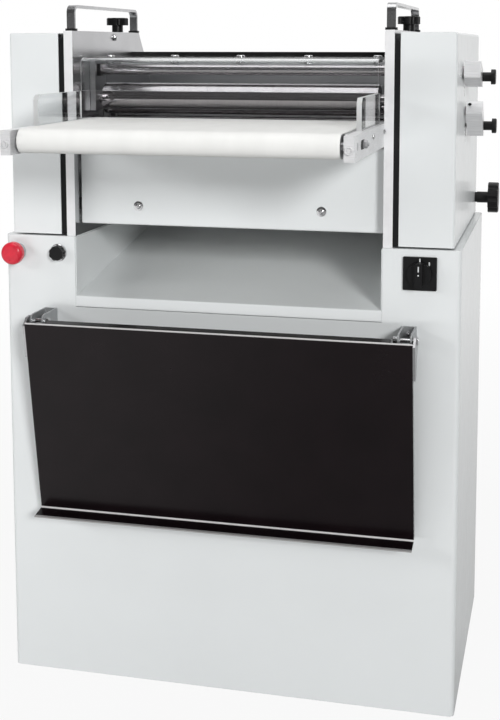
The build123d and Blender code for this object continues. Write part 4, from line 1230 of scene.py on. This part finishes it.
@dataclass
class Studio:
    """Pale floor, white surroundings and soft lamps.

    A ramp goes from its first number to its second, over a stretch from its third to its fourth.
    """

    floor_size: float = 14.0
    floor_rear: float = 4.0
    floor_colour: Colour = (0.4, 0.4, 0.4)
    floor_fade: float = 0.99
    floor_clouds: float = 1.5
    floor_roughness: float = 0.9
    floor_shine: float = 0.1
    floor_white: Ramp = (0.92, 1.0, 0.9, 3.6)
    # In mirrors the floor glows as a painted reflection: in front of the machine brighter on the left, and
    # brighter towards the back.
    floor_side_reflection: Ramp = (1.0, 0.05, -0.7, 0.0)
    floor_back_reflection: Ramp = (0.4, 1.0, 0.2, 3.2)
    floor_turn: Ramp = (0.0, 1.0, -0.25, 0.1)
    ambient: Ramp = (0.06, 0.6, -0.2, 0.2)
    mirrored: Ramp = (0.1, 1.0, 0.1, 0.6)
    lamps: tuple[Lamp, ...] = (
        Lamp("key lamp", (4.4, -7.0, 3.3), (0.0, 0.0, 0.75), (1.6, 1.6), 378.0),
        Lamp("low lamp", (-0.9, -3.0, 0.14), (-0.1, 0.0, 0.8), (3.0, 0.2), 19.0, False),
        Lamp("side lamp", (-4.1, -3.0, 2.3), (0.0, 0.0, 0.75), (2.4, 0.9), 60.0, False),
        Lamp("top lamp", (0.0, -0.6, 3.4), (0.0, 0.0, 0.8), (2.0, 2.0), 28.0),
    )

    def build(self) -> None:
        """Set up the floor, the surroundings and the lamps."""
        self.build_floor()
        self.build_world()
        for lamp in self.lamps:
            lamp.build()
            LOG.info("%s at %.0f W", lamp.name, lamp.power)
        bpy.context.scene.view_settings.view_transform = "Standard"

    def build_floor(self) -> None:
        """Lay the floor, white to the eye but still shaded by the machine, and glowing in mirrors as a
        painted reflection.
        """
        middle = (0.0, self.floor_rear - self.floor_size / 2, 0.0)
        bpy.ops.mesh.primitive_plane_add(size=self.floor_size, location=middle)
        floor = Bench.apply()
        floor.name = "studio_floor"
        graph = Graph("studio floor")
        cloud = graph.noise(graph.place(), self.floor_clouds, FEW_LAYERS)
        pale = graph.shade(cloud, self.floor_colour, self.floor_fade)
        rough, shine = self.floor_roughness, self.floor_shine
        graph.surface(Base_Color=pale, Roughness=rough, Specular_IOR_Level=shine)
        # Painted reflection: mirrors see the floor glow, brighter on the left in front and brighter towards
        # the back.
        away = graph.math("LENGTH", graph.place(), kind=VECTOR_MATH)
        seen = graph.math("MULTIPLY", graph.straight(), graph.span(away, *self.floor_white))
        back = graph.along(BACK)
        side = graph.span(graph.along(RIGHT), *self.floor_side_reflection)
        level = graph.blend(graph.span(back, *self.floor_turn), side, graph.span(back, *self.floor_back_reflection))
        shown = graph.math("MAXIMUM", seen, graph.math("MULTIPLY", graph.mirrored(), level))
        mix = graph.mix(shown, graph.shader, graph.node("ShaderNodeEmission"))
        graph.fill(graph.output, Surface=mix.outputs["Shader"])
        floor.data.materials.append(graph.material)

    def build_world(self) -> None:
        """Make the surroundings white to the eye, softer as a light, and mirrored dark from the front."""
        world = bpy.data.worlds.new("studio")
        tree = Tree(world)
        aim = tree.node("ShaderNodeTexCoord").outputs["Generated"]
        back = tree.node("ShaderNodeSeparateXYZ", Vector=aim).outputs["Y"]
        levels = (tree.span(back, *self.ambient), tree.span(back, *self.mirrored), 1.0)
        plain_white = (1.0, 1.0, 1.0, 1.0)
        soft, mirror, white = (
            tree.node("ShaderNodeBackground", Color=plain_white, Strength=level) for level in levels
        )
        shown = tree.mix(tree.straight(), tree.mix(tree.mirrored(), soft, mirror), white)
        tree.node("ShaderNodeOutputWorld", Surface=shown.outputs["Shader"])
        bpy.context.scene.world = world


@dataclass
class Viewpoint:
    """Camera at the photograph's viewing angle."""

    place: Triple = (0.56470, -2.27425, 1.13939)
    tilt: float = 83.4241
    heading: float = 13.5200
    lens: float = 62.1443
    sensor: float = 36.0
    shift: Pair = (-0.02467, -0.23611)

    def build(self) -> None:
        """Set up the camera and make it the scene's own."""
        camera = bpy.data.cameras.new("viewpoint")
        camera.sensor_width = self.sensor
        camera.lens = self.lens
        camera.shift_x, camera.shift_y = self.shift
        holder = bpy.data.objects.new("viewpoint", camera)
        bpy.context.scene.collection.objects.link(holder)
        holder.location = self.place
        holder.rotation_euler = (radians(self.tilt), 0.0, radians(self.heading))
        bpy.context.scene.camera = holder


def main() -> None:
    """Build the studio, the finishes and the trim."""
    logging.basicConfig(level=logging.INFO, format="%(name)s: %(message)s")
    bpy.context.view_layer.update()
    Viewpoint().build()
    Studio().build()
    palette = Palette()
    Machine(palette).dress()
    for trim in (ConveyorTrim(palette), HeadTrim(palette), FrontTrim(palette), RearTrim(palette)):
        trim.build()


if __name__ == "__main__":
    main()
